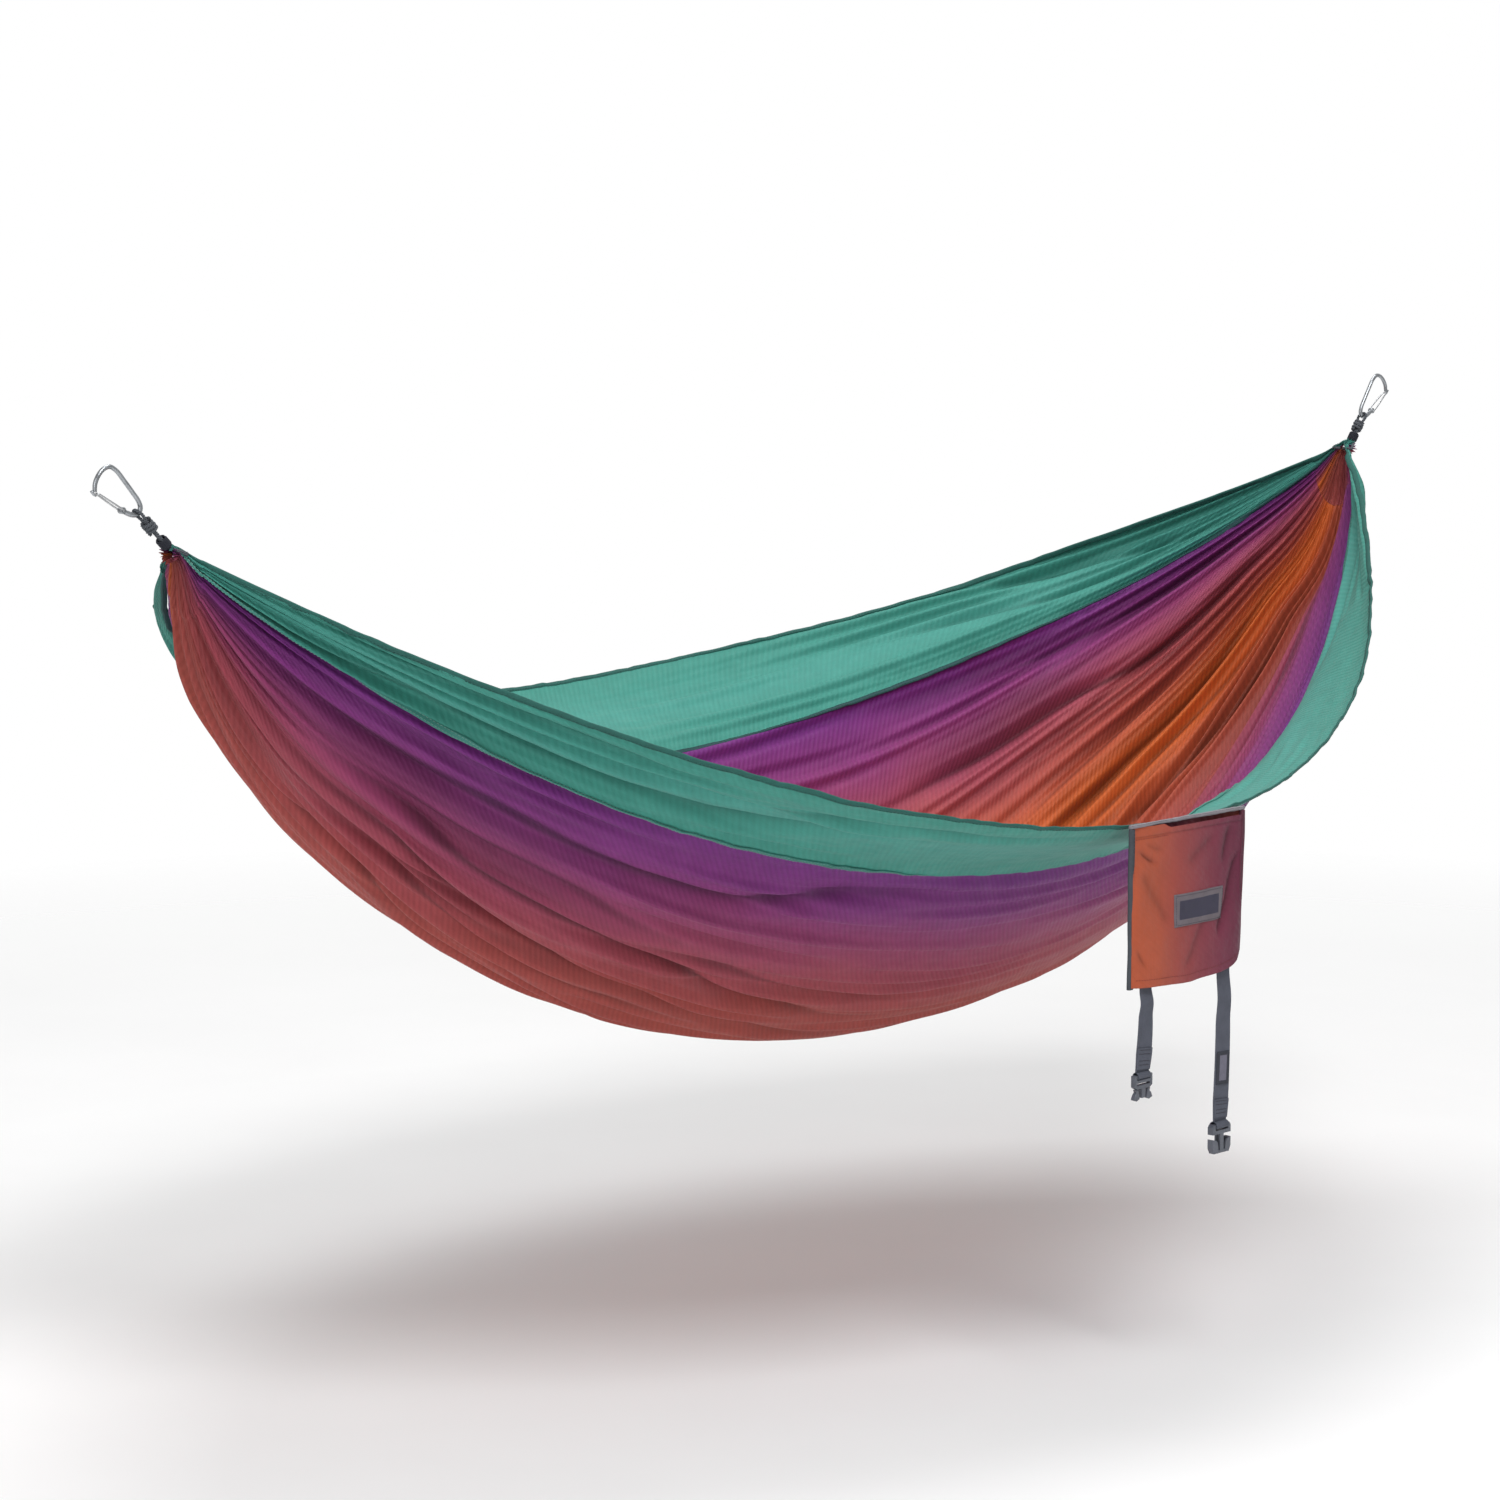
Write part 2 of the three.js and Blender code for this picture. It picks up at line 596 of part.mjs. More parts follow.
const shortStrap = strapGroup(SHORT_STRAP);
addPart("short_strap", webbing(SHORT_STRAP), WEBBING_GREY(), shortStrap);
const plug = new THREE.Group();
plug.position.set(SHORT_STRAP.lean, 0, -SHORT_STRAP.length - BUCKLE_DROP);
shortStrap.add(plug);
addPart("plug_body", plugBody(), PLASTIC(), plug);
addPart("plug_left_arm", plugArm(-1), PLASTIC(), plug);
addPart("plug_right_arm", plugArm(1), PLASTIC(), plug);

const longStrap = strapGroup(LONG_STRAP);
addPart("long_strap", webbing(LONG_STRAP), WEBBING_GREY(), longStrap);
addPart("strap_label", strapLabel(), LABEL_GREY(), longStrap);
const socket = new THREE.Group();
socket.position.set(LONG_STRAP.lean, 0, -LONG_STRAP.length - BUCKLE_DROP);
longStrap.add(socket);
addPart("socket_body", socketBody(), PLASTIC(), socket);

export default hammock;
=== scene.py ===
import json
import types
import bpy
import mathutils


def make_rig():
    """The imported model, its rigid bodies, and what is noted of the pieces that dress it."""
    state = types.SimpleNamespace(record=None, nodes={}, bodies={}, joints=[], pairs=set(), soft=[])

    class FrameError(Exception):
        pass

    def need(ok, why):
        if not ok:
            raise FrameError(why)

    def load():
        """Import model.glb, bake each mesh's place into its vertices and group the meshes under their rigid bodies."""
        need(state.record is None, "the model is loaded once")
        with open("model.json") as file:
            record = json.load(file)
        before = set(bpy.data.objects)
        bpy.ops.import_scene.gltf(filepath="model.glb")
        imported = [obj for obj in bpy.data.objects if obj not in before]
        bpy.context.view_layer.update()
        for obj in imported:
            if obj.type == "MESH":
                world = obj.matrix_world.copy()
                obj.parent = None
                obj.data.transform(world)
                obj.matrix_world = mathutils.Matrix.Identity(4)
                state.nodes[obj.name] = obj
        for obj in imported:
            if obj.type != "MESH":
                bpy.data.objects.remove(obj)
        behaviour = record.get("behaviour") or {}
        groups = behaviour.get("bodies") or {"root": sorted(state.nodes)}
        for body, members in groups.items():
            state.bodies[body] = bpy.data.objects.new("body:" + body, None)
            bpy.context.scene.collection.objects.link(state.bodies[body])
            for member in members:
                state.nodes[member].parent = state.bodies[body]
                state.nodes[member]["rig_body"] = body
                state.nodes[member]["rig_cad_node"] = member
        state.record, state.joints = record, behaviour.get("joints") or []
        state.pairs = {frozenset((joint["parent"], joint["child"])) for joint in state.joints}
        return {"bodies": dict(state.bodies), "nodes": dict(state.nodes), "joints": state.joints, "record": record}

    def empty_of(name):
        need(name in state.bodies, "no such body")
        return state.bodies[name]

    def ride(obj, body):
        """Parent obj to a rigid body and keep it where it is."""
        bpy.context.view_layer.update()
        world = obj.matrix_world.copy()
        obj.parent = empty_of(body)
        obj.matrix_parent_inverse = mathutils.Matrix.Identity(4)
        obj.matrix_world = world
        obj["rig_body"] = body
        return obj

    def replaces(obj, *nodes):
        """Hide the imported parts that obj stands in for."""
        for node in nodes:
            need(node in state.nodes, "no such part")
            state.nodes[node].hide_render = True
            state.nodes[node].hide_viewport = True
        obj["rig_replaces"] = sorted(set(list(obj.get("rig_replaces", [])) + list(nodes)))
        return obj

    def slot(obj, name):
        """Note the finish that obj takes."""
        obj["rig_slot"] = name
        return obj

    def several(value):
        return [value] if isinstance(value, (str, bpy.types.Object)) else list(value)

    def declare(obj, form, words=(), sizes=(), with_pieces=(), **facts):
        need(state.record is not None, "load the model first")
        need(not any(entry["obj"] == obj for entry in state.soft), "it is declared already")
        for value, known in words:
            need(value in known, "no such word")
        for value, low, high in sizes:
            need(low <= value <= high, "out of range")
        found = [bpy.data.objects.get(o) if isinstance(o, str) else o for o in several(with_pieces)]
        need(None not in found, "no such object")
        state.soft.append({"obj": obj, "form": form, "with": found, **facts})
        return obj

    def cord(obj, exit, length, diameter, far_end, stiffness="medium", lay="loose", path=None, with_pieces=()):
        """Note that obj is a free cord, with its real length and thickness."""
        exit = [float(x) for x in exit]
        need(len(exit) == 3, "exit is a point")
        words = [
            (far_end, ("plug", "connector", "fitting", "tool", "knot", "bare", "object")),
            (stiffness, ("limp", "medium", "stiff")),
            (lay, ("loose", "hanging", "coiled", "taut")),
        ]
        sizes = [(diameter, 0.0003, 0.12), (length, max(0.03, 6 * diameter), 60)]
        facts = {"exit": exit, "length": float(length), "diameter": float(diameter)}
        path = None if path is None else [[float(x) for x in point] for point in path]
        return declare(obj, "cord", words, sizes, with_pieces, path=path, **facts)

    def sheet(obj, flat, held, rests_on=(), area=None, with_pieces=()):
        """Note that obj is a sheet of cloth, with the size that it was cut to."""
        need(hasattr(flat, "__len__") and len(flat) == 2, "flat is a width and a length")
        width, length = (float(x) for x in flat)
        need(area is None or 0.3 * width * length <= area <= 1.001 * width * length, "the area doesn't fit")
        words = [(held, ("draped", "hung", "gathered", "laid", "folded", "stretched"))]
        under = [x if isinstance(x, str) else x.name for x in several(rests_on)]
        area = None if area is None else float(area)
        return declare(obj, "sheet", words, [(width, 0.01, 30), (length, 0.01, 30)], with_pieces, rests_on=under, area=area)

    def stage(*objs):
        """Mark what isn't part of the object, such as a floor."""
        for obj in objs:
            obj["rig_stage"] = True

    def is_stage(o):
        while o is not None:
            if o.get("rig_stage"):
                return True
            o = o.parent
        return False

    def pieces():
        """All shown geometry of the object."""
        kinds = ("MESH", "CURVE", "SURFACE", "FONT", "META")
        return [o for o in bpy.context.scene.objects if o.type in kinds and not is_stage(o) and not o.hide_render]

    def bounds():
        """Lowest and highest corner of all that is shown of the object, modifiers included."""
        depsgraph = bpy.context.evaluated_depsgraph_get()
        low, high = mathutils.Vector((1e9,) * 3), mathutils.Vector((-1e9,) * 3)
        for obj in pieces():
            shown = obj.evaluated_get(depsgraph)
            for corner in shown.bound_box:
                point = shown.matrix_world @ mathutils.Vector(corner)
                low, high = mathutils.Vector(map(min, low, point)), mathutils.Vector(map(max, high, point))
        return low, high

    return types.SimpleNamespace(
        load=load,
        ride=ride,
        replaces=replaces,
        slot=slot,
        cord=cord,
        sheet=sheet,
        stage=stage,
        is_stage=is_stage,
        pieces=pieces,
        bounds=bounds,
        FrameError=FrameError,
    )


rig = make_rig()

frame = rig.load()

import json
import math

import bmesh
import bpy
import numpy as np
from mathutils import Vector

CAD_BOX = [list(corner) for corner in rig.bounds()]
MM = 0.001

# ---------- Camera ----------
CAMERA_PLACE = (-4.437, -4.077, 0.415)
CAMERA_AZIMUTH, CAMERA_ELEVATION, CAMERA_LENS = -46.424, 7.962, 112.78


def make_camera():
    data = bpy.data.cameras.new("camera")
    data.sensor_width = 36
    data.lens = CAMERA_LENS
    data.clip_start, data.clip_end = 0.05, 200
    camera = bpy.data.objects.new("camera", data)
    a, e = math.radians(CAMERA_AZIMUTH), math.radians(CAMERA_ELEVATION)
    back = Vector((math.sin(a) * math.cos(e), -math.cos(a) * math.cos(e), math.sin(e)))
    camera.location = CAMERA_PLACE
    camera.rotation_mode = "QUATERNION"
    camera.rotation_quaternion = (-back).to_track_quat("-Z", "Y")
    bpy.context.scene.collection.objects.link(camera)
    bpy.context.scene.camera = camera


make_camera()

# ---------- Driving dimensions, as in the CAD part ----------
HANG_SPAN = 2.370
ENDS = {
    "left": dict(side=-1, run=0.008, rope=0.064, rope_angle=44, clip_angle=49),
    "right": dict(side=1, run=0.014, rope=0.050, rope_angle=53, clip_angle=55),
}
CROWN = (0.0644, -0.0045)
STATION_ANGLE = (-59.4, -40.7, 0, 46.5, 63.3)
STATION_REACH = (0.704, 0.590, 0.704, 0.579, 0.697)
STATION_POWER = (0.99, 0.81, 0.631, 0.712, 0.793)
STATION_SKEW = (0.186, 0.03, -0.127, -0.029, 0.069)
NEAR_HEM, NEAR_SEAM, FAR_SEAM, FAR_HEM = -59.4, -40.7, 46.5, 63.3
CLOTH_START = 0.009
ROD_RADIUS, WIRE_RADIUS, ROPE_RADIUS = 0.0027, 0.0011, 0.002
KNOT_SHARE, KNOT_CORD_RADIUS = 0.62, 0.0021

# The cut of the three panels, before they were gathered.
CUT_LENGTH = 2.72
NEAR_CUT, CENTRE_CUT, FAR_CUT = 0.22, 1.12, 0.22
SPLITS = np.cumsum([0, NEAR_CUT, CENTRE_CUT, FAR_CUT])


def in_clip(end, x, z):
    """World place of a point of a carabiner's own frame."""
    a = math.radians(end["clip_angle"])
    seat = end["seat"]
    return np.array(
        (
            seat[0] + end["side"] * (x * math.cos(a) - z * math.sin(a)),
            0,
            seat[2] + x * math.sin(a) + z * math.cos(a),
        )
    )


for end in ENDS.values():
    side, clip, rope = (
        end["side"],
        math.radians(end["clip_angle"]),
        math.radians(end["rope_angle"]),
    )
    end["seat"] = np.array((side * HANG_SPAN / 2, 0.0, 0.0))
    end["seat"] = end["seat"] - (in_clip(end, *CROWN) - end["seat"])
    end["up"] = np.array((side * math.cos(rope), 0, math.sin(rope)))
    end["collar"] = end["seat"] - end["rope"] * end["up"]
    end["gather"] = end["collar"] - np.array((side * end["run"], 0, 0))
LEFT, RIGHT = ENDS["left"], ENDS["right"]


# ---------- Numbers and surfaces ----------
def through(xs, ys, x):
    """A monotone cubic through (xs, ys), at every x."""
    xs, ys = np.asarray(xs, float), np.asarray(ys, float)
    step = np.diff(xs)
    rise = np.diff(ys) / step
    slope = np.empty(len(xs))
    slope[0], slope[-1] = rise[0], rise[-1]
    product = rise[:-1] * rise[1:]
    total = np.where(product > 0, rise[:-1] + rise[1:], 1)
    slope[1:-1] = np.where(product > 0, 2 * product / total, 0)
    i = np.clip(np.searchsorted(xs, x) - 1, 0, len(xs) - 2)
    t = (x - xs[i]) / step[i]
    cubic = (1 + 2 * t) * (1 - t) ** 2 * ys[i] + t * t * (3 - 2 * t) * ys[i + 1]
    return cubic + step[i] * (
        t * (1 - t) ** 2 * slope[i] - t * t * (1 - t) * slope[i + 1]
    )


def smooth(x):
    x = np.clip(x, 0, 1)
    return x * x * (3 - 2 * x)


def unit(v):
    return v / np.maximum(np.linalg.norm(v, axis=-1, keepdims=True), 1e-12)


def bed(share, angle):
    """The bed's smooth surface: share along from the left gather, angle from straight down."""
    share, angle = np.broadcast_arrays(
        np.asarray(share, float), np.asarray(angle, float)
    )
    reach = through(STATION_ANGLE, STATION_REACH, angle)
    power = through(STATION_ANGLE, STATION_POWER, angle)
    skew = through(STATION_ANGLE, STATION_SKEW, angle)
    s = share + skew * share * (1 - share) / 2
    r = reach * np.clip(4 * s * (1 - s), 0, None) ** power
    a = np.radians(angle)
    line = LEFT["gather"] + share[..., None] * (RIGHT["gather"] - LEFT["gather"])
    return line + np.stack([0 * r, r * np.sin(a), -r * np.cos(a)], -1)


def noise(x, y, seed):
    """Smooth noise from -1 to 1 with cells of unit size."""
    table = np.random.default_rng(seed).uniform(-1, 1, (128, 128))
    xi, yi = np.floor(x).astype(int), np.floor(y).astype(int)
    fx, fy = x - xi, y - yi
    fx, fy = [f**3 * (f * (6 * f - 15) + 10) for f in (fx, fy)]
    a, b = table[xi % 128, yi % 128], table[(xi + 1) % 128, yi % 128]
    c, d = table[xi % 128, (yi + 1) % 128], table[(xi + 1) % 128, (yi + 1) % 128]
    return (a * (1 - fx) + b * fx) * (1 - fy) + (c * (1 - fx) + d * fx) * fy


def grid_faces(rows, columns, wrap=False):
    i, j = np.meshgrid(
        np.arange(rows - 1), np.arange(columns - (not wrap)), indexing="ij"
    )
    k = (j + 1) % columns
    quads = [i * columns + j, i * columns + k, (i + 1) * columns + k]
    quads.append((i + 1) * columns + j)
    return np.stack(quads, -1).reshape(-1, 4)


def make_mesh(name, points, faces, uv=None, values=None):
    """A mesh object from arrays. uv and values are given per point."""
    mesh = bpy.data.meshes.new(name)
    points = np.asarray(points, float).reshape(-1, 3)
    mesh.from_pydata(points.tolist(), [], [list(map(int, f)) for f in faces])
    mesh.update()
    if uv is not None:
        corner = np.empty(len(mesh.loops), np.int32)
        mesh.loops.foreach_get("vertex_index", corner)
        layer = mesh.uv_layers.new(name="cloth")
        layer.data.foreach_set("uv", np.asarray(uv, float).reshape(-1, 2)[corner].ravel())
    for key, value in (values or {}).items():
        attribute = mesh.attributes.new(key, "FLOAT", "POINT")
        attribute.data.foreach_set("value", np.asarray(value, float).ravel())
    if uv is None:
        turned = bmesh.new()
        turned.from_mesh(mesh)
        bmesh.ops.recalc_face_normals(turned, faces=turned.faces)
        turned.to_mesh(mesh)
        turned.free()
    mesh.polygons.foreach_set("use_smooth", [True] * len(mesh.polygons))
    made = bpy.data.objects.new(name, mesh)
    bpy.context.scene.collection.objects.link(made)
    return made


def piece(name, shape, material, body, slot=None, nodes=()):
    """A mesh object of one material, riding on its body in place of the CAD nodes."""
    made = make_mesh(name, *shape)
    made.data.materials.append(material)
    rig.ride(made, body)
    if slot:
        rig.slot(made, slot)
    if nodes:
        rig.replaces(made, *nodes)
    return made


def frames_along(path, hint):
    """Side and up at each point of a path; up stays near the hint."""
    tangent = unit(np.gradient(path, axis=0))
    side = unit(np.cross(tangent, np.broadcast_to(np.asarray(hint, float), path.shape)))
    return side, np.cross(side, tangent)


def transported(path):
    """Side and up along a path, turning no more than the path does."""
    tangent = unit(np.gradient(path, axis=0))
    first = np.cross(tangent[0], (0.0, 0.0, 1.0))
    if np.linalg.norm(first) < 0.1:
        first = np.cross(tangent[0], (0.0, 1.0, 0.0))
    side = np.empty_like(path)
    side[0] = unit(first)
    for i in range(1, len(path)):
        side[i] = unit(side[i - 1] - tangent[i] * np.dot(side[i - 1], tangent[i]))
    return side, np.cross(side, tangent)


def run_along(path):
    """The distance along a path at each of its points."""
    return np.concatenate([[0], np.cumsum(np.linalg.norm(np.diff(path, axis=0), axis=1))])


def capped(rows, columns):
    """Faces of a tube of closed rows, with one face over each end."""
    faces = [list(f) for f in grid_faces(rows, columns, wrap=True)]
    faces.append(list(range(columns))[::-1])
    faces.append([(rows - 1) * columns + j for j in range(columns)])
    return faces


def sweep(path, side, up, section):
    """Points and faces of a section of (side, up) pairs carried along a path."""
    section = np.asarray(section, float)
    if section.ndim == 2:
        section = np.broadcast_to(section, (len(path), *section.shape))
    points = path[:, None] + side[:, None] * section[..., :1] + up[:, None] * section[..., 1:]
    return points.reshape(-1, 3), capped(*points.shape[:2])


def oval(a, b, sides):
    t = 2 * math.pi * (np.arange(sides) + 0.5) / sides
    return np.stack([a * np.cos(t), b * np.sin(t)], -1)


def merged(*parts):
    points, faces, base = [], [], 0
    for p, f in parts:
        p = np.asarray(p, float).reshape(-1, 3)
        points.append(p)
        faces += [[int(i) + base for i in g] for g in f]
        base += len(p)
    return np.concatenate(points), faces


def curve_through(points, step):
    """A centripetal Catmull-Rom curve through the points, sampled about every step."""
    p = np.asarray(points, float)
    p = np.concatenate([[2 * p[0] - p[1]], p, [2 * p[-1] - p[-2]]])
    out = []
    for i in range(len(p) - 3):
        a, b, c, d = p[i : i + 4]
        k = [0.0]
        for u, v in ((a, b), (b, c), (c, d)):
            k.append(k[-1] + max(np.linalg.norm(v - u), 1e-9) ** 0.5)
        count = max(2, int(math.ceil(np.linalg.norm(c - b) / step)))
        t = np.linspace(k[1], k[2], count, endpoint=False)[:, None]
        ab = (k[1] - t) / (k[1] - k[0]) * a + (t - k[0]) / (k[1] - k[0]) * b
        bc = (k[2] - t) / (k[2] - k[1]) * b + (t - k[1]) / (k[2] - k[1]) * c
        cd = (k[3] - t) / (k[3] - k[2]) * c + (t - k[2]) / (k[3] - k[2]) * d
        abc = (k[2] - t) / (k[2] - k[0]) * ab + (t - k[0]) / (k[2] - k[0]) * bc
        bcd = (k[3] - t) / (k[3] - k[1]) * bc + (t - k[1]) / (k[3] - k[1]) * cd
        out.append((k[2] - t) / (k[2] - k[1]) * abc + (t - k[1]) / (k[2] - k[1]) * bcd)
    return np.concatenate([*out, p[-2:-1]])


# ---------- Materials ----------
def srgb(r, g, b):
    return [
        (c / 255 / 12.92) if c < 11 else ((c / 255 + 0.055) / 1.055) ** 2.4
        for c in (r, g, b)
    ] + [1.0]


class Nodes:
    """A material's node tree, with short calls for the nodes used here."""

    def __init__(self, name):
        self.material = bpy.data.materials.new(name)
        self.material.use_nodes = True
        self.tree = self.material.node_tree
        self.shader = self.tree.nodes["Principled BSDF"]

    def add(self, kind, **settings):
        node = self.tree.nodes.new(kind)
        for key, value in settings.items():
            setattr(node, key, value)
        return node

    def link(self, a, b):
        self.tree.links.new(a, b)

    def put(self, socket, value):
        if hasattr(value, "links"):
            self.link(value, socket)
        else:
            socket.default_value = value

    def math(self, operation, a, b=0.0):
        node = self.add("ShaderNodeMath", operation=operation)
        self.put(node.inputs[0], a)
        self.put(node.inputs[1], b)
        return node.outputs[0]

    def value(self, name):
        return self.add("ShaderNodeAttribute", attribute_name=name).outputs["Fac"]

    def mix(self, kind, share, a, b):
        node = self.add("ShaderNodeMix", data_type="RGBA", blend_type=kind)
        self.put(node.inputs["Factor"], share)
        self.put(node.inputs["A"], a)
        self.put(node.inputs["B"], b)
        return node.outputs["Result"]

    def ramp(self, value, stops):
        node = self.add("ShaderNodeValToRGB")
        elements = node.color_ramp.elements
        while len(elements) < len(stops):
            elements.new(0.5)
        for element, (place, colour) in zip(elements, stops):
            element.position = place
            element.color = colour
        self.link(value, node.inputs["Fac"])
        return node.outputs["Color"]

    def level(self, value, low, high, to_low, to_high):
        node = self.add("ShaderNodeMapRange")
        self.link(value, node.inputs["Value"])
        for key, number in zip(
            ("From Min", "From Max", "To Min", "To Max"), (low, high, to_low, to_high)
        ):
            node.inputs[key].default_value = number
        return node.outputs["Result"]

    def place(self, kind="Object", scale=(1, 1, 1), turn=(0, 0, 0)):
        source = self.add("ShaderNodeTexCoord").outputs[kind]
        node = self.add("ShaderNodeMapping")
        self.link(source, node.inputs["Vector"])
        node.inputs["Scale"].default_value = scale
        node.inputs["Rotation"].default_value = turn
        return node.outputs["Vector"]

    def clouds(self, place, scale, detail=4.0, rough=0.55):
        node = self.add("ShaderNodeTexNoise")
        self.link(place, node.inputs["Vector"])
        node.inputs["Scale"].default_value = scale
        node.inputs["Detail"].default_value = detail
        node.inputs["Roughness"].default_value = rough
        return node.outputs["Fac"]

    def waves(self, place, scale, direction="X"):
        node = self.add("ShaderNodeTexWave", wave_type="BANDS")
        node.bands_direction = direction
        self.link(place, node.inputs["Vector"])
        node.inputs["Scale"].default_value = scale
        return node.outputs["Fac"]

    def bump(self, height, distance, strength=1.0, below=None):
        node = self.add("ShaderNodeBump")
        node.inputs["Distance"].default_value = distance
        node.inputs["Strength"].default_value = strength
        self.link(height, node.inputs["Height"])
        if below is not None:
            self.link(below, node.inputs["Normal"])
        return node.outputs["Normal"]

    def finish(self, colour, roughness, normal=None, metallic=0.0, specular=0.5):
        for key, value in (
            ("Base Color", colour),
            ("Roughness", roughness),
            ("Metallic", metallic),
            ("Specular IOR Level", specular),
        ):
            self.put(self.shader.inputs[key], value)
        if normal is not None:
            self.link(normal, self.shader.inputs["Normal"])
        return self.material


def nylon(name, stops, crease=0.62, diagonal=0.09):
    """Woven nylon: colour by the place across the panel, a diagonal twill and fine threads, with painted shade
    darkening the fold valleys.
    """
    n = Nodes(name)
    across = n.value("across")
    cloth = n.place("UV")
    drift = n.level(n.clouds(cloth, 3.0, 3.0), 0.2, 0.8, -0.018, 0.018)
    colour = n.ramp(n.math("ADD", across, drift), stops)
    mottle = n.level(n.clouds(cloth, 22.0, 6.0, 0.65), 0.25, 0.75, 0.90, 1.08)
    slub = n.level(
        n.clouds(n.place("UV", (900, 14, 1)), 1.0, 2.0), 0.25, 0.75, 0.955, 1.045
    )
    twill = n.waves(n.place("UV", (1, 1, 1), (0, 0, math.radians(52))), 38.0)
    rib = n.level(twill, 0.0, 1.0, 1.0 - diagonal, 1.0 + diagonal * 0.6)
    shade = n.math("MULTIPLY", n.math("MULTIPLY", mottle, slub), rib)
    # painted shade: the base colour darkens in the fold valleys, by the per-point shade attribute
    folds = n.level(n.value("crease"), 0.0, 1.0, 1.0, 1.0 - crease)
    grey = n.add("ShaderNodeCombineColor")
    for i in range(3):
        n.link(n.math("MULTIPLY", shade, folds), grey.inputs[i])
    colour = n.mix("MULTIPLY", 1.0, colour, grey.outputs["Color"])
    wrinkles = n.clouds(n.place("UV", (60, 22, 1)), 1.0, 5.0, 0.6)
    threads_x = n.waves(cloth, 300.0)
    threads_y = n.waves(cloth, 300.0, direction="Y")
    first = n.bump(wrinkles, 0.0022, 0.55)
    second = n.bump(twill, 0.0006, 0.6, first)
    third = n.bump(n.math("MULTIPLY", threads_x, threads_y), 0.0002, 0.35, second)
    rough = n.level(wrinkles, 0.3, 0.7, 0.50, 0.66)
    n.shader.inputs["Sheen Weight"].default_value = 0.04
    n.shader.inputs["Sheen Roughness"].default_value = 0.5
    return n.finish(colour, rough, third, specular=0.24)


TEAL_STOPS = [
    (0.0, srgb(62, 142, 128)),
    (0.5, srgb(72, 152, 140)),
    (1.0, srgb(64, 144, 130)),
]
SUNSET_STOPS = [
    (0.0, srgb(112, 40, 122)),
    (0.07, srgb(124, 48, 118)),
    (0.14, srgb(142, 58, 102)),
    (0.21, srgb(154, 66, 84)),
    (0.30, srgb(162, 72, 68)),
    (0.50, srgb(166, 76, 62)),
    (0.59, srgb(178, 83, 56)),
    (0.65, srgb(200, 95, 42)),
    (0.70, srgb(204, 98, 38)),
    (0.77, srgb(178, 80, 62)),
    (0.84, srgb(156, 66, 92)),
    (0.91, srgb(136, 50, 112)),
    (1.0, srgb(112, 38, 122)),
]
SACK_STOPS = [
    (0.0, srgb(176, 84, 54)),
    (0.20, srgb(170, 82, 58)),
    (0.40, srgb(150, 70, 66)),
    (0.60, srgb(132, 60, 70)),
    (0.80, srgb(114, 48, 68)),
    (1.0, srgb(98, 40, 62)),
]


def thread(name, colour, scale=900.0, rough=(0.6, 0.8)):
    """Spun or braided cord and tape."""
    n = Nodes(name)
    place = n.place("Object")
    fibre = n.clouds(place, scale, 3.0)
    patch = n.clouds(place, 60.0, 4.0)
    dark = [c * 0.62 for c in colour[:3]] + [1]
    light = [min(c * 1.25, 1) for c in colour[:3]] + [1]
    base = n.ramp(
        n.math("ADD", n.math("MULTIPLY", fibre, 0.6), n.math("MULTIPLY", patch, 0.4)),
        [(0.3, dark), (0.52, colour), (0.75, light)],
    )
    normal = n.bump(fibre, 0.0003, 0.7)
    return n.finish(base, n.level(patch, 0.3, 0.7, *rough), normal, specular=0.25)


def metal(name, colour, rough=(0.22, 0.38)):
    n = Nodes(name)
    place = n.place("Object")
    scratches = n.clouds(n.place("Object", (400, 400, 1400)), 1.0, 4.0, 0.7)
    patch = n.clouds(place, 90.0, 4.0)
    dark = [c * 0.72 for c in colour[:3]] + [1]
    base = n.ramp(patch, [(0.3, dark), (0.6, colour)])
    normal = n.bump(scratches, 0.00008, 0.5)
    return n.finish(base, n.level(patch, 0.3, 0.7, *rough), normal, metallic=0.9)


def plastic(name, colour):
    n = Nodes(name)
    place = n.place("Object")
    grain = n.clouds(place, 1800.0, 3.0)
    patch = n.clouds(place, 45.0, 4.0)
    light = [min(c * 1.3 + 0.01, 1) for c in colour[:3]] + [1]
    base = n.ramp(patch, [(0.35, colour), (0.75, light)])
    normal = n.bump(grain, 0.0001, 0.4)
    return n.finish(base, n.level(patch, 0.3, 0.7, 0.38, 0.52), normal)


TEAL = nylon("teal_nylon", TEAL_STOPS, 0.40, 0.05)
SUNSET = nylon("sunset_nylon", SUNSET_STOPS)
SACK_NYLON = nylon("sack_nylon", SACK_STOPS, 0.6, 0.008)
HEM_TAPE = thread("hem_tape", srgb(44, 98, 90), 1200.0)
NEAR_SEAM_TAPE = thread("near_seam_tape", srgb(66, 132, 122), 1200.0)
FAR_SEAM_TAPE = thread("far_seam_tape", srgb(42, 78, 80), 1200.0)
SACK_TAPE = thread("sack_tape", srgb(72, 76, 82), 1200.0)
SACK_MAROON_TAPE = thread("sack_maroon_tape", srgb(98, 52, 66), 1200.0)
HEM_ROLL = thread("sack_hem_roll", srgb(138, 134, 140), 1500.0)
STITCH = thread("seam_thread", srgb(120, 160, 150), 3000.0)
DARK_STITCH = thread("hem_thread", srgb(40, 84, 78), 3000.0)
RUST_STITCH = thread("sack_thread", srgb(120, 56, 52), 3000.0)
ROPE = thread("grey_rope", srgb(86, 90, 96), 2600.0)
WHIPPING_THREAD = thread("whipping_thread", srgb(44, 46, 54), 2600.0)
WEBBING = thread("webbing", srgb(84, 87, 98), 1400.0)
LABEL_RIM = thread("label_border", srgb(112, 104, 110), 2400.0)
LABEL_FIELD = thread("label_field", srgb(66, 64, 80), 2400.0)
TAB_RIM = thread("tab_border", srgb(58, 60, 68), 2400.0)
TAB_FIELD = thread("tab_field", srgb(112, 110, 124), 2400.0)
LABEL_STITCH = thread("label_thread", srgb(66, 62, 70), 3000.0)
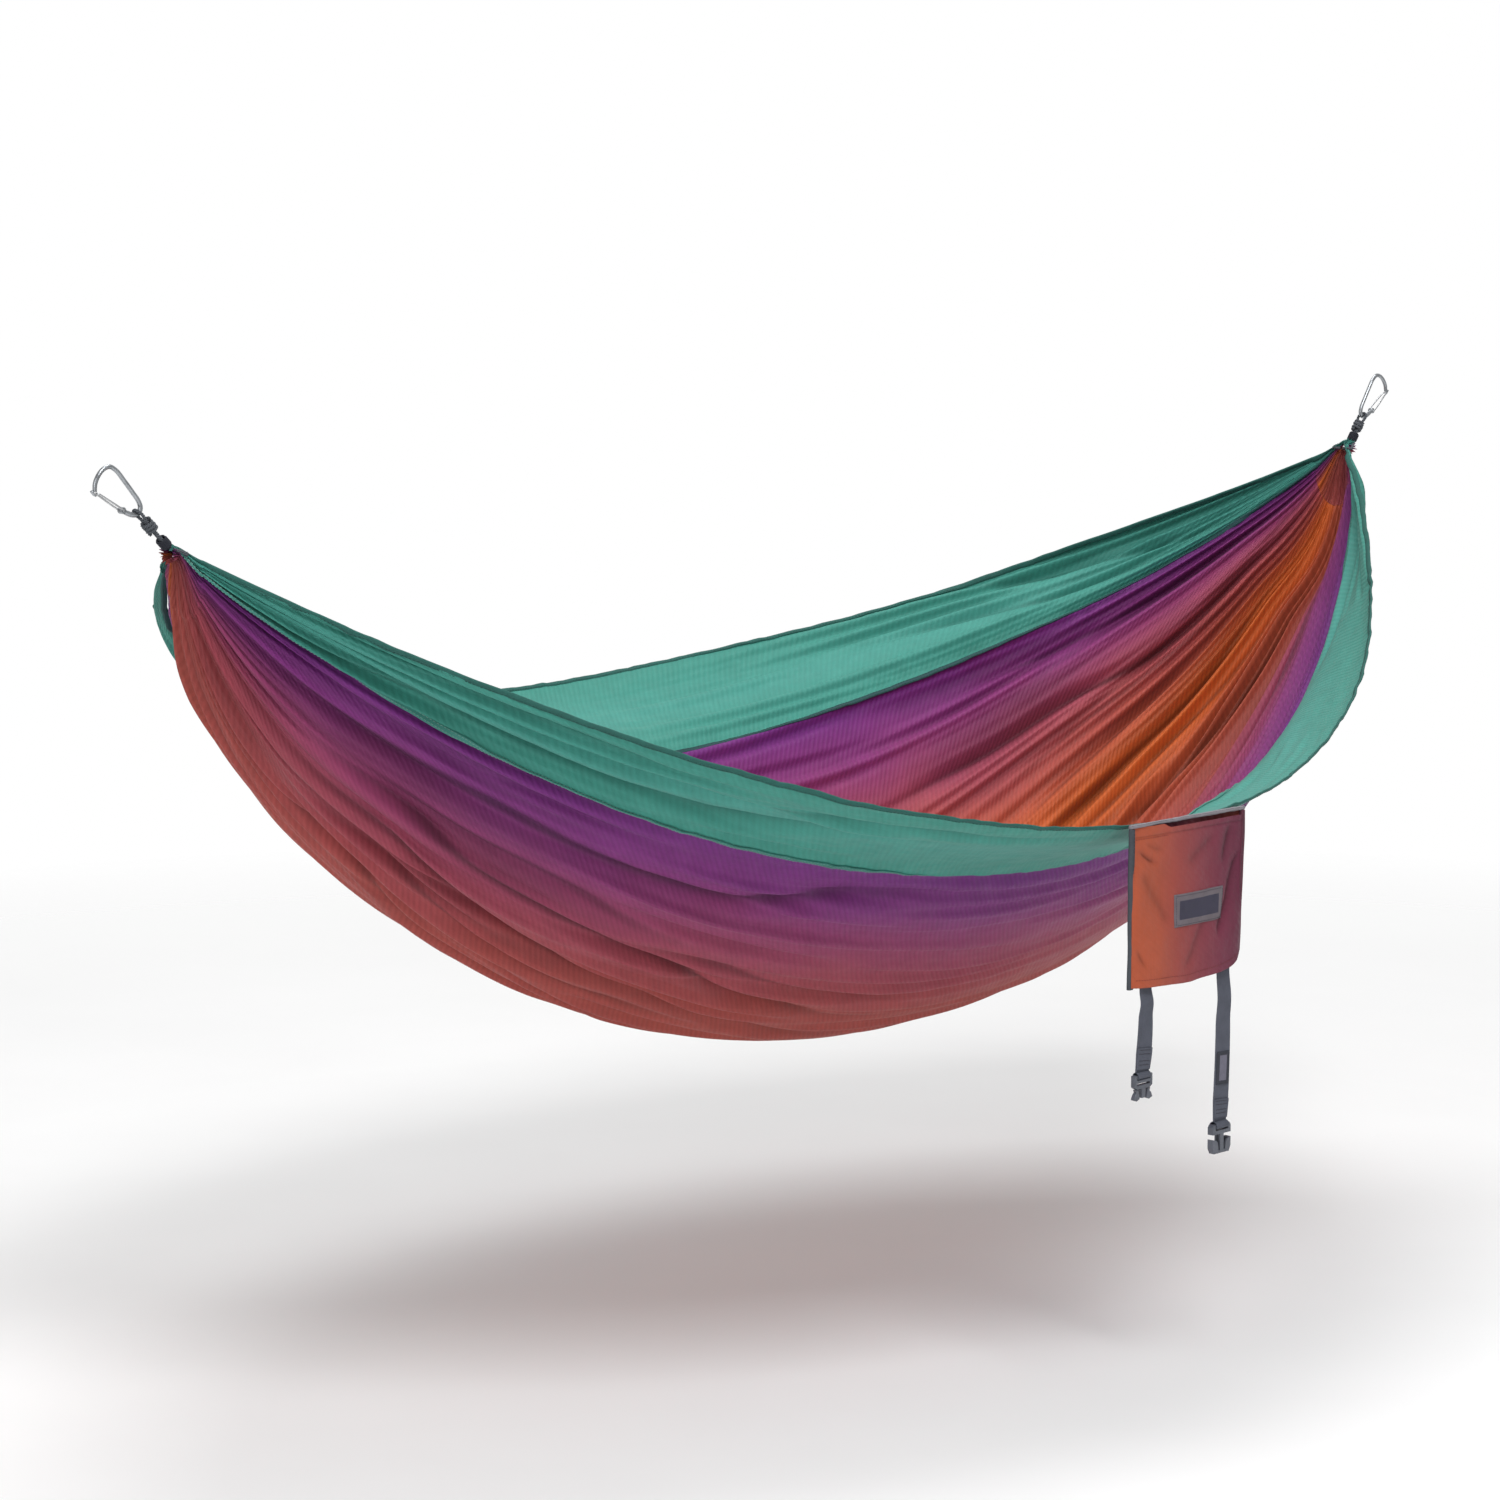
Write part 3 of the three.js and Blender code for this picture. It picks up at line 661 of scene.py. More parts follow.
PLASTIC = plastic("buckle_plastic", srgb(82, 85, 94))
STEEL = metal("carabiner_alloy", srgb(172, 176, 180))
WIRE = metal("gate_wire", srgb(196, 198, 200), (0.15, 0.3))

# ---------- The bed's cloth ----------
# A fold is a groove along the fibres: the panel it lies on, its way as (share along, share
# across), its half width and depth in mm, and which side of the cloth it sinks from.
OUTSIDE_FOLDS = [
    (
        "centre",
        [(0.0, 0.10), (0.05, 0.12), (0.23, 0.12), (0.29, 0.10), (0.35, 0.06), (0.43, 0.03)],
        12,
        20,
    ),
    ("centre", [(0.03, 0.055), (0.12, 0.06), (0.22, 0.055)], 5, 6),
    ("centre", [(0.02, 0.30), (0.11, 0.30), (0.20, 0.34), (0.29, 0.35), (0.48, 0.40)], 8, 17),
    ("centre", [(0.04, 0.21), (0.15, 0.24), (0.23, 0.25), (0.34, 0.29), (0.47, 0.32)], 8, 17),
    ("centre", [(0.01, 0.48), (0.09, 0.45), (0.17, 0.44)], 6, 10),
    ("centre", [(0.07, 0.43), (0.17, 0.49), (0.30, 0.45)], 6, 10),
    ("centre", [(0.08, 0.35), (0.18, 0.39), (0.34, 0.39)], 6, 11),
    ("centre", [(0.06, 0.19), (0.16, 0.19), (0.28, 0.21)], 11, 11),
    ("centre", [(0.26, 0.24), (0.36, 0.245), (0.46, 0.26)], 8, 9),
    ("near", [(0.02, 0.15), (0.20, 0.20)], 6, 7),
    ("near", [(0.02, 0.75), (0.23, 0.80), (0.28, 0.59), (0.34, 0.38)], 11, 15),
    ("near", [(0.10, 0.45), (0.22, 0.42), (0.34, 0.22), (0.42, 0.12)], 8, 9),
]
INSIDE_FOLDS = [
    ("centre", [(1.0, 0.87), (0.96, 0.78), (0.92, 0.76), (0.84, 0.80), (0.70, 0.83)], 8, 15),
    ("centre", [(1.0, 0.61), (0.90, 0.60), (0.76, 0.60)], 9, 19),
    ("centre", [(0.92, 0.66), (0.78, 0.66)], 6, 11),
    ("centre", [(0.99, 0.42), (0.90, 0.45), (0.79, 0.50)], 9, 17),
    ("centre", [(0.98, 0.52), (0.87, 0.54), (0.77, 0.56)], 6, 12),
    ("centre", [(1.0, 0.91), (0.92, 0.92), (0.79, 0.94)], 7, 11),
    ("centre", [(0.98, 0.71), (0.88, 0.73), (0.78, 0.74)], 6, 9),
    ("centre", [(0.97, 0.30), (0.86, 0.32)], 8, 11),
    ("far", [(0.98, 0.05), (0.91, 0.60), (0.82, 0.92)], 7, 11),
    ("far", [(0.97, 0.16), (0.85, 0.40), (0.77, 0.62)], 7, 10),
    ("near", [(0.97, 0.80), (0.80, 0.80)], 8, 9),
    ("near", [(0.96, 0.45), (0.84, 0.50)], 8, 9),
]
PANEL_INDEX = {"near": 0, "centre": 1, "far": 2}


def groove(distance, half_width):
    """1 at the bottom of a fold, falling away on both sides; a narrow bottom, round shoulders."""
    soft = 0.42
    x = distance / half_width
    return np.exp(-(np.sqrt(x * x + soft * soft) - soft))


def strewn_folds():
    """The many smaller folds that fan out of each gather, seeded."""
    rng = np.random.default_rng(7)
    made = []
    for end in (0, 1):
        places = (np.arange(34) + 0.5 + rng.uniform(-0.38, 0.38, 34)) / 34
        for place in places * SPLITS[-1]:
            far = rng.choice([0.055, 0.10, 0.17, 0.26], p=[0.30, 0.32, 0.24, 0.14])
            far *= rng.uniform(0.75, 1.25)
            lean = rng.uniform(-0.05, 0.05)
            inwards = 1 if rng.random() < (0.68 if end == 0 else 0.36) else -1
            ts = np.array((0.0, 0.4, 1.0)) * far
            ws = place + np.array((0.0, 0.3, 1.0)) * lean
            depth = rng.uniform(0.65, 1.1) * (5.0 + 26 * far)
            if end == 0 and far > 0.09 and SPLITS[1] < place < SPLITS[2]:
                depth *= 0.7
            width = rng.uniform(4.2, 6.5) * (0.8 + 2.2 * far)
            made.append((end, ts, ws, width * MM, depth * MM, inwards))
    return made


def relief(t, w, kappa):
    """How far the cloth stands inwards of its smooth surface, and how much painted shade it takes in its fold valleys.
    t is the share along, w the place across the cut in metres, kappa surface width over cut."""
    rise = np.zeros_like(w)
    fold_shade = np.zeros_like(w)
    for folds, sense in ((OUTSIDE_FOLDS, 1), (INSIDE_FOLDS, -1)):
        for panel, way, half_width, depth in folds:
            way = sorted(way)
            ts, cs = np.array(way).T
            i = PANEL_INDEX[panel]
            at = SPLITS[i] + (SPLITS[i + 1] - SPLITS[i]) * np.interp(t, ts, cs)
            at = at + 0.005 * np.sin(t * 31 + half_width) + 0.003 * np.sin(t * 67 + depth)
            length = ts[-1] - ts[0]
            fade = smooth((t - ts[0] + 0.03) / (0.25 * length + 0.03)) * smooth(
                (ts[-1] + 0.03 - t) / (0.35 * length + 0.03)
            )
            crowd = np.clip(kappa / 0.45, 0.15, 1)
            off = (w - at) * kappa
            g = groove(off, half_width * MM * crowd) * fade
            wide = half_width * MM * crowd
            lip = groove(off - 2.1 * wide, 1.2 * wide) * fade
            rise += sense * depth * MM * crowd * (g - 0.35 * lip)
            # painted shade along the bottom of each drawn fold
            sharp = np.exp(-((off / (0.62 * half_width * MM * crowd)) ** 2)) * fade
            fold_shade = np.maximum(fold_shade, sharp * min(depth / 14, 1))
    for end, ts, ws, half_width, depth, inwards in strewn_folds():
        s = t if end == 0 else 1 - t
        at = np.interp(s, ts, ws)
        fade = smooth((s + 0.004) / 0.02) * smooth((ts[-1] - s) / (0.75 * ts[-1]))
        crowd = np.clip(kappa / 0.4, 0.2, 1)
        g = groove((w - at) * kappa, half_width * crowd) * fade
        rise += inwards * depth * crowd * g
        # painted shade in the strewn folds: strong for valleys facing out at the left end and in at the right end,
        # faint otherwise
        seen = (0.7 if end == 0 else 1.0) if (inwards > 0) == (end == 0) else 0.15
        fold_shade = np.maximum(fold_shade, g**1.6 * 0.5 * seen)
    ends = np.minimum(t, 1 - t)
    length = t * CUT_LENGTH
    # the pleats that take up the width near the gathers, where the cut is wider than the fan
    warp = 0.9 * noise(w / 0.07, length / 0.5, 31)
    pleat = noise(w / 0.0155 + warp, length / 0.42, 32)
    take_up = np.clip(1.0 / np.maximum(kappa, 0.18), 1, 3.2)
    steep = np.sqrt(2 * (take_up**2 - 1))
    size = steep * 0.031 * kappa / (2 * math.pi) * 1.7
    rise += size * pleat * smooth(ends / 0.012)
    # painted shade in the pleat valleys: those seen from outside on the left, from inside on the right
    valley = np.clip(np.where(t < 0.55, pleat, -pleat), 0, 1) * np.clip(take_up - 1, 0, 1)
    fold_shade = np.maximum(fold_shade, 0.5 * smooth(valley * 1.6))
    # broad soft lobes between the folds
    lobes = noise(w / 0.13 + 5, t * 3.1 + 2, 3) + 0.5 * noise(w / 0.06 + 9, t * 5.0, 4)
    calm = 1 - 0.65 * np.exp(-(((w - SPLITS[1]) / 0.06) ** 2))
    lobes = lobes * calm * smooth(ends / 0.03)
    rise += 0.0075 * lobes * (0.25 + 0.75 * smooth((0.5 - ends) / 0.45))
    # fine crinkles, drawn out along the fibres
    fine = noise(w / 0.017, length / 0.075, 11) + 0.6 * noise(w / 0.009, length / 0.04, 12)
    where = 0.35 + 0.65 * smooth(noise(w / 0.2, length / 0.35, 13) + 0.5)
    rise += 0.0006 * fine * where * smooth(ends / 0.02)
    # cross wrinkles that run obliquely off the seams and hems, as stitched cloth draws up
    for seam, reach_off in zip(SPLITS, (0.035, 0.05, 0.05, 0.035)):
        off = np.abs(w - seam)
        pucker = noise((length + 0.7 * (w - seam)) / 0.017, off / 0.06 + 3, 20)
        pucker += 0.7 * noise((length - 0.9 * (w - seam)) / 0.03, off / 0.05 + 8, 21)
        rise += 0.0011 * pucker * np.exp(-off / reach_off) * smooth(ends / 0.03)
    return rise, fold_shade


ROWS, BUNCH_ROWS = 300, 14
COLUMNS = (74, 300, 74)


def seam_marks(t):
    """Angles of the near and the far seam: each bears a little to one side near a gather."""
    near = NEAR_SEAM + 17.0 * smooth((t - 0.64) / 0.22) * smooth((1.0 - t) / 0.05)
    far = FAR_SEAM + 12.0 * smooth((0.12 - t) / 0.07)
    return near, far


def print_place(t, c):
    """Where the print's colour comes from: it bears to one side towards each end."""
    shown = (0, 0.18, 0.26, 0.34, 0.42, 0.50, 0.60, 0.68, 0.82, 0.90, 1)
    printed = (0, 0.07, 0.14, 0.21, 0.54, 0.62, 0.70, 0.77, 0.84, 0.91, 1)
    share = smooth((t - 0.56) / 0.26)
    left = np.interp(c, (0, 0.30, 0.62, 0.86, 1), (0, 0.21, 0.36, 0.80, 1))
    left_share = smooth((0.42 - t) / 0.34)
    return c + share * (np.interp(c, shown, printed) - c) + left_share * (left - c)


def build_bed():
    x = np.linspace(0, 1, ROWS)
    eased = 0.5 - 0.5 * np.cos(np.pi * x)
    t = CLOTH_START + (1 - 2 * CLOTH_START) * (0.45 * x + 0.55 * eased)
    fine = np.linspace(NEAR_HEM, FAR_HEM, 721)
    surface = bed(t[:, None], fine[None, :])
    arc = np.concatenate(
        [np.zeros((ROWS, 1)), np.cumsum(np.linalg.norm(np.diff(surface, axis=1), axis=-1), 1)],
        1,
    )
    near, far = seam_marks(t)
    marks = np.stack([0 * t + NEAR_HEM, near, far, 0 * t + FAR_HEM])
    marks = np.interp(marks, fine, np.arange(721))
    angles, across, cut, kappa = [], [], [], []
    for k, count in enumerate(COLUMNS):
        c = np.linspace(0, 1, count)
        bounds = np.stack(
            [np.interp(marks[k : k + 2, i], np.arange(721), row) for i, row in enumerate(arc)]
        )
        want = bounds[:, :1] + c[None, :] * (bounds[:, 1:] - bounds[:, :1])
        angles.append(np.stack([np.interp(want[i], arc[i], fine) for i in range(ROWS)]))
        across.append(np.broadcast_to(c, (ROWS, count)))
        width = SPLITS[k + 1] - SPLITS[k]
        cut.append(np.broadcast_to(SPLITS[k] + width * c, (ROWS, count)))
        kappa.append(np.broadcast_to((bounds[:, 1:] - bounds[:, :1]) / width, (ROWS, count)))
    angles, cut, kappa = (np.concatenate(v, 1) for v in (angles, cut, kappa))
    t_all = np.broadcast_to(t[:, None], angles.shape)
    base = bed(t_all, angles)
    step = 1e-4
    along = bed(t_all + step, angles) - bed(t_all - step, angles)
    side = bed(t_all, np.minimum(angles + 0.05, FAR_HEM - 0.01))
    side = side - bed(t_all, np.maximum(angles - 0.05, NEAR_HEM + 0.01))
    inward = unit(np.cross(along, side))
    towards = LEFT["gather"] + t_all[..., None] * (RIGHT["gather"] - LEFT["gather"]) - base
    if (inward * towards).sum() < 0:
        inward = -inward
    rise, crease = relief(t_all, cut, kappa)
    points = base + inward * rise[..., None]
    # the bunch at each end: from the last row in to a pleated neck on the rope
    rows = [points]
    crease_shades = [crease]
    lengths = [t_all * CUT_LENGTH]
    for name, first in (("left", True), ("right", False)):
        end = ENDS[name]
        edge = points[0] if first else points[-1]
        w = cut[0] / SPLITS[-1]
        turn = (w - 0.5) * 2 * math.pi * 0.98
        neck = end["gather"] + np.array((end["side"] * 0.002, 0, -0.005))
        wobble = 1 + 0.20 * np.cos(w * 2 * math.pi * 17 + 1) + 0.10 * np.cos(w * 2 * math.pi * 29)
        ring = neck + np.stack(
            [0 * turn, 0.0075 * wobble * np.sin(turn), -0.0065 * wobble * np.cos(turn)], -1
        )
        puff = 0.0035 * np.cos(w * 2 * math.pi * 11 + (2 if first else 4))
        outwards = unit(edge - (edge * (1, 0, 0) + neck * (0, 1, 1)))
        bunch, bunch_crease_shade, bunch_length = [], [], []
        for i in range(1, BUNCH_ROWS + 1):
            s = i / BUNCH_ROWS
            ease = smooth(np.array(s))
            p = edge * (1 - ease) + ring * ease
            p[:, 0] = edge[:, 0] * (1 - s) + ring[:, 0] * s
            p = p + outwards * (puff * math.sin(math.pi * s))[:, None]
            bunch.append(p)
            # painted shade growing towards the gathered neck
            bunch_crease_shade.append(crease[0 if first else -1] * (1 - s) + 0.5 * s)
            bunch_length.append(lengths[0][0 if first else -1] + (-1 if first else 1) * 0.06 * s)
        # the channel's far edge stands out past the rope as a short frill
        for k, (out, grow) in enumerate(((0.003, 1.05), (0.0065, 1.30), (0.0095, 1.45))):
            flare = 1 + 0.07 * k * np.cos(w * 2 * math.pi * 23 + k)
            p = neck + (ring - neck) * (grow * flare[:, None])
            p[:, 0] += end["side"] * (out + 0.0015 * np.cos(w * 2 * math.pi * 13 + k))
            bunch.append(p)
            # painted shade on the frill
            bunch_crease_shade.append(0.3 + 0 * w)
            bunch_length.append(bunch_length[-1] + (-1 if first else 1) * 0.004)
        if first:
            rows[0:0] = [np.stack(bunch[::-1])]
            crease_shades[0:0] = [np.stack(bunch_crease_shade[::-1])]
            lengths[0:0] = [np.stack(bunch_length[::-1])]
        else:
            rows.append(np.stack(bunch))
            crease_shades.append(np.stack(bunch_crease_shade))
            lengths.append(np.stack(bunch_length))
    return (
        np.concatenate(rows),
        np.concatenate(crease_shades),
        np.concatenate(lengths),
        cut,
        np.concatenate(across, 1),
    )


BED_POINTS, BED_CREASE_SHADE, BED_LENGTH, BED_CUT, BED_ACROSS = build_bed()
ALONG = unit(np.gradient(BED_POINTS, axis=0))
ACROSS = unit(np.gradient(BED_POINTS, axis=1))
BED_NORMAL = unit(np.cross(ALONG, ACROSS))


def bed_panel(name, index, material, nodes):
    first = sum(COLUMNS[:index])
    columns = slice(first, first + COLUMNS[index])
    points, length = BED_POINTS[:, columns], BED_LENGTH[:, columns]
    rows, count = length.shape
    uv = np.stack([np.broadcast_to(BED_CUT[0, columns], length.shape), length], -1)
    across = np.broadcast_to(BED_ACROSS[0, columns], length.shape)
    if index == 1:
        across = print_place(length / CUT_LENGTH, across)
    values = {"across": across, "crease": BED_CREASE_SHADE[:, columns]}
    shape = (points, grid_faces(rows, count), uv, values)
    return piece(name, shape, material, "bed", nodes=nodes)


near_cloth = bed_panel("near_side_cloth", 0, TEAL, ["near_side_panel"])
centre_cloth = bed_panel(
    "centre_cloth", 1, SUNSET, ["centre_panel", "left_gathered_end", "right_gathered_end"]
)
far_cloth = bed_panel("far_side_cloth", 2, TEAL, ["far_side_panel"])


# ---------- Hems, seams and their stitching ----------
BED_STITCH = dict(pitch=0.0048, length=0.0036, thick=0.00042)
SACK_STITCH = dict(pitch=0.0042, length=0.0031, thick=0.00038)
# The folded strips along the cloth: the section in metres as (out from the line, off the cloth),
# the share of it left at the gathers, and where the rows of stitches lie.
HEM = dict(
    outline=np.array(
        [
            (0.0012, 0.0), (0.0008, 0.0010), (-0.001, 0.0015), (-0.0032, 0.0013),
            (-0.0058, 0.0011), (-0.0066, 0.0007), (-0.0066, -0.0007), (-0.0058, -0.0011),
            (-0.0032, -0.0013), (-0.001, -0.0015), (0.0008, -0.0010),
        ]
    ),
    slim=0.35,
    rows=(-0.0050,),
    height=0.0013,
)
SEAM = dict(
    outline=np.array(
        [
            (0.0040, 0.0), (0.0035, 0.0008), (0.0016, 0.0012), (-0.0016, 0.0012),
            (-0.0035, 0.0008), (-0.0040, 0.0), (-0.0035, -0.0008), (-0.0016, -0.0012),
            (0.0016, -0.0012), (0.0035, -0.0008),
        ]
    ),
    slim=0.4,
    rows=(-0.0022, 0.0022),
    height=0.0012,
)
TAPER_ROWS, UNSTITCHED_ROWS = 18, 6


def stitch_row(path, side, up, pitch, length, thick):
    """Short thread stitches along a path, each a pinched capsule half sunk in the cloth."""
    run = run_along(path)
    count = int(run[-1] / pitch)
    at = (np.arange(count) + 0.5) * pitch

    def along(values, shift=0.0):
        return np.stack([np.interp(at + shift, run, values[:, k]) for k in range(3)], -1)

    shifts = np.array((-0.5, -0.36, 0.0, 0.36, 0.5)) * length
    girth = np.array((0.25, 0.85, 1.0, 0.85, 0.25)) * thick
    lift = np.array((-0.55, 0.05, 0.25, 0.05, -0.55)) * thick
    ring = oval(1, 1, 6)
    out = girth[:, None] * ring[:, 0]
    off = lift[:, None] + girth[:, None] * ring[:, 1]
    points = (
        np.stack([along(path, shift) for shift in shifts], 1)[:, :, None]
        + unit(along(side))[:, None, None] * out[None, :, :, None]
        + unit(along(up))[:, None, None] * off[None, :, :, None]
    )
    corners = len(shifts) * len(ring)
    faces = capped(len(shifts), len(ring))
    every = [[int(i + b) for i in f] for b in np.arange(count) * corners for f in faces]
    return points.reshape(-1, 3), every


def cloth_edge(name, column, kind, tape, thread_material, outward=1, nodes=()):
    """A folded strip along one line of the bed's cloth, stitched on both faces."""
    path, up = BED_POINTS[:, column], BED_NORMAL[:, column]
    side = ACROSS[:, column] * outward
    row = np.arange(len(path))
    taper = smooth(np.minimum(row, row[::-1]) / TAPER_ROWS)[:, None, None]
    section = kind["outline"][::outward][None] * (kind["slim"] + (1 - kind["slim"]) * taper)
    strip = piece(name, sweep(path, side, up, section), tape, "bed", "edge_trim", nodes)
    inner = slice(UNSTITCHED_ROWS, -UNSTITCHED_ROWS)
    rows = []
    for face in (1, -1):
        for place in kind["rows"]:
            line = path + side * place + up * face * kind["height"]
            rows.append(stitch_row(line[inner], side[inner], up[inner] * face, **BED_STITCH))
    stitching = piece(
        name + "_stitching", merged(*rows), thread_material, "bed", "edge_trim"
    )
    return strip, stitching


near_hem = cloth_edge("near_hem", 0, HEM, HEM_TAPE, DARK_STITCH, -1, ["near_edge_binding"])
far_hem = cloth_edge(
    "far_hem", sum(COLUMNS) - 1, HEM, HEM_TAPE, DARK_STITCH, 1, ["far_edge_binding"]
)
near_seam = cloth_edge("near_seam", COLUMNS[0], SEAM, NEAR_SEAM_TAPE, STITCH)
far_seam = cloth_edge("far_seam", sum(COLUMNS[:2]), SEAM, FAR_SEAM_TAPE, DARK_STITCH)
for cloth, width, trim in (
    (near_cloth, NEAR_CUT, near_hem),
    (centre_cloth, CENTRE_CUT, (*near_seam, *far_seam)),
    (far_cloth, FAR_CUT, far_hem),
):
    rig.sheet(
        cloth,
        flat=(width, CUT_LENGTH),
        held="hung",
        rests_on=["left_rope_strands", "right_rope_strands"],
        with_pieces=trim,
    )


# ---------- Suspension ropes ----------
def rope_points(end):
    """The rope's way through the channel, up both sides of the bunch and round the rod."""

    def at(distance, y):
        return end["collar"] + end["up"] * distance * MM + np.array((0, y * MM, 0))

    low = end["gather"] - np.array((end["side"] * 6 * MM, 0, 6 * MM))

    def beside(dx, y, dz):
        return low + np.array((end["side"] * dx, y, dz)) * MM

    length = end["rope"] / MM
    half = [
        beside(0, 3, 0), beside(0, 13, 0), beside(1.8, 16, 0.9), beside(7, 13.5, 3.5),
        at(1, 5.5), at(6, 2.6), at(length * KNOT_SHARE, 2.5), at(length - 12, 4.2),
        at(length - 6, 6.2), at(length - 1.5, 5.8), at(length + 1.6, 3.4),
    ]
    back = [p * (1, -1, 1) for p in half][::-1]
    return np.array([*half, at(length + 2.9, 0), *back])


def plied(path, radius, plies=3, pitch=0.009, sides=8):
    """A laid rope: plies twisted round a path, together as thick as the rope."""
    side, up = transported(path)
    run = run_along(path)
    parts = []
    for k in range(plies):
        a = 2 * math.pi * (run / pitch + k / plies)
        off = 0.52 * radius
        line = path + off * (side * np.cos(a)[:, None] + up * np.sin(a)[:, None])
        parts.append(sweep(line, side, up, oval(0.54 * radius, 0.54 * radius, sides)))
    return merged(*parts)


def wound(end, start, turns, pitch, radius, flat=1.0, spread=1.0):
    """Turns of a cord round the rope, from start metres above the collar. flat and spread
    scale the turns in the ropes' plane and across it."""
    a = np.linspace(0, 2 * math.pi * turns, int(turns * 28))
    across = np.array((-end["up"][2], 0, end["up"][0]))
    return (
        end["collar"]
        + end["up"] * (start + pitch * a / (2 * math.pi))[:, None]
        + across * (flat * radius * np.cos(a))[:, None]
        + np.array((0.0, 1.0, 0.0)) * (spread * radius * np.sin(a))[:, None]
    )


for name, end in ENDS.items():
    strands = plied(curve_through(rope_points(end), 0.0007), ROPE_RADIUS)
    piece(name + "_rope_strands", strands, ROPE, "bed", "suspension_cord", [name + "_rope"])
    knot_at = end["rope"] * KNOT_SHARE
    knot = merged(
        plied(wound(end, knot_at - 0.0085, 3.6, 0.0045, 0.0056), KNOT_CORD_RADIUS),
        plied(wound(end, knot_at - 0.0050, 1.3, 0.0062, 0.0064, flat=0.9), KNOT_CORD_RADIUS),
    )
    piece(name + "_knot", knot, ROPE, "bed", "suspension_cord")
    wraps = []
    for line, thick in (
        (wound(end, 0.0042, 9.5, 0.0014, 0.0052, spread=1.18), 0.00085),
        (wound(end, 0.0060, 6.5, 0.0016, 0.0060, spread=1.15), 0.0008),
    ):
        wraps.append(sweep(line, *transported(line), oval(thick, thick, 6)))
    piece(
        name + "_whipping_turns",
        merged(*wraps),
        WHIPPING_THREAD,
        "bed",
        "whipping_thread",
        [name + "_whipping"],
    )

# ---------- Carabiners ----------
CLIP_LINE = np.array(
    [
        (16, -13.7), (8.5, -10.4), (1.6, -6), (-2.5, 0), (-0.6, 6.6), (6.5, 9.9), (20, 10.6),
        (38, 10.8), (54, 10.4), (64, 6.4), (68, -2.5), (67.3, -12.5), (63.6, -21), (57.5, -27),
    ]
) * MM
GATE_PIVOT, NOSE = np.array((16, -13.7)) * MM, np.array((57.5, -27)) * MM


def clip_place(end, local):
    """Local (x, y, z) points of a carabiner to the world."""
    local = np.asarray(local, float)
    a = math.radians(end["clip_angle"])
    x, y, z = local[..., 0], local[..., 1], local[..., 2]
    return np.stack(
        [
            end["seat"][0] + end["side"] * (x * math.cos(a) - z * math.sin(a)),
            y,
            end["seat"][2] + x * math.sin(a) + z * math.cos(a),
        ],
        -1,
    )


def facing_out(end, faces):
    return faces if end["side"] > 0 else [list(f)[::-1] for f in faces]


def pivot_pin(profile, sides):
    """A pin turned about the gate's pivot, from (radius, height) pairs up to its middle."""
    profile = [*profile, *[(r, -h) for r, h in profile[::-1]]]
    a = 2 * math.pi * np.arange(sides) / sides
    points = np.array([[(r * math.cos(b), h, r * math.sin(b)) for b in a] for r, h in profile])
    points += (GATE_PIVOT[0], 0, GATE_PIVOT[1])
    return points.reshape(-1, 3), capped(len(profile), sides)


def clip_body(end):
    """The rod with its boss and rivet at the gate's pivot and its hooked nose."""
    way = curve_through([(x, 0, z) for x, z in CLIP_LINE], 0.0011)
    run = np.linspace(0, 1, len(way))
    thick = ROD_RADIUS * (1 + 0.16 * np.exp(-(((run - 0.14) / 0.10) ** 2)))
    thick = thick * (1 - 0.10 * smooth((run - 0.93) / 0.07))
    section = oval(1, 1, 18)[None] * thick[:, None, None]
    rod = sweep(way, *frames_along(way, (0, 1, 0)), section)
    boss = pivot_pin([(0.0030, -0.0036), (0.0036, -0.0034), (0.0039, -0.0028)], 28)
    rivet = pivot_pin([(0.0008, -0.0046), (0.0016, -0.0044), (0.0018, -0.0038)], 18)
    dx, dz = unit(NOSE - GATE_PIVOT)
    hook = np.array([(4.6, -1.0), (2.6, -2.0), (0.4, -2.9), (-1.8, -3.1), (-3.6, -2.7)]) * MM
    way = curve_through(
        [(NOSE[0] + d * dx - h * dz, 0, NOSE[1] + d * dz + h * dx) for d, h in hook], 0.0007
    )
    section = oval(1.0, 1.0, 14)[None] * np.linspace(0.0021, 0.0011, len(way))[:, None, None]
    nib = sweep(way, *frames_along(way, (0, 1, 0)), section)
    points, faces = merged(rod, boss, rivet, nib)
    return clip_place(end, points), facing_out(end, faces)


def clip_gate(end):
    """The wire gate: a narrow bail from the boss to the nose and back."""
    reach = np.linalg.norm(NOSE - GATE_PIVOT)
    dx, dz = (NOSE - GATE_PIVOT) / reach
    length = reach / MM - 2.2
    half = [
        (0, 1.9), (0, 3.6), (0.5, 4.65), (1.8, 4.9), (length * 0.35, 4.8), (length * 0.7, 3.7),
        (length - 3.4, 2.9), (length - 1.4, 1.9),
    ]
    way = [*half, (length - 1, 0), *[(x, -y) for x, y in half][::-1]]
    line = curve_through(
        [(GATE_PIVOT[0] + d * MM * dx, y * MM, GATE_PIVOT[1] + d * MM * dz) for d, y in way],
        0.0008,
    )
    points, faces = sweep(line, *transported(line), oval(WIRE_RADIUS, WIRE_RADIUS, 12))
    return clip_place(end, points), facing_out(end, faces)


for name, end in ENDS.items():
    body_node, gate_node = name + "_carabiner_body", name + "_carabiner_gate"
    rod_name, wire_name = name + "_carabiner_rod", name + "_gate_wire"
    piece(rod_name, clip_body(end), STEEL, "carabiners", "carabiner_alloy", [body_node])
    piece(wire_name, clip_gate(end), WIRE, name + "_gate", "gate_wire", [gate_node])

# ---------- Stuff sack ----------
SACK_HINGE = np.array((-0.035, -0.613928, -0.446452))
SACK_WIDTH, SACK_HEIGHT, SACK_BULGE = 0.220, 0.196, 0.0075
LABEL = dict(width=0.098, height=0.040, x=0.017, down=0.110)
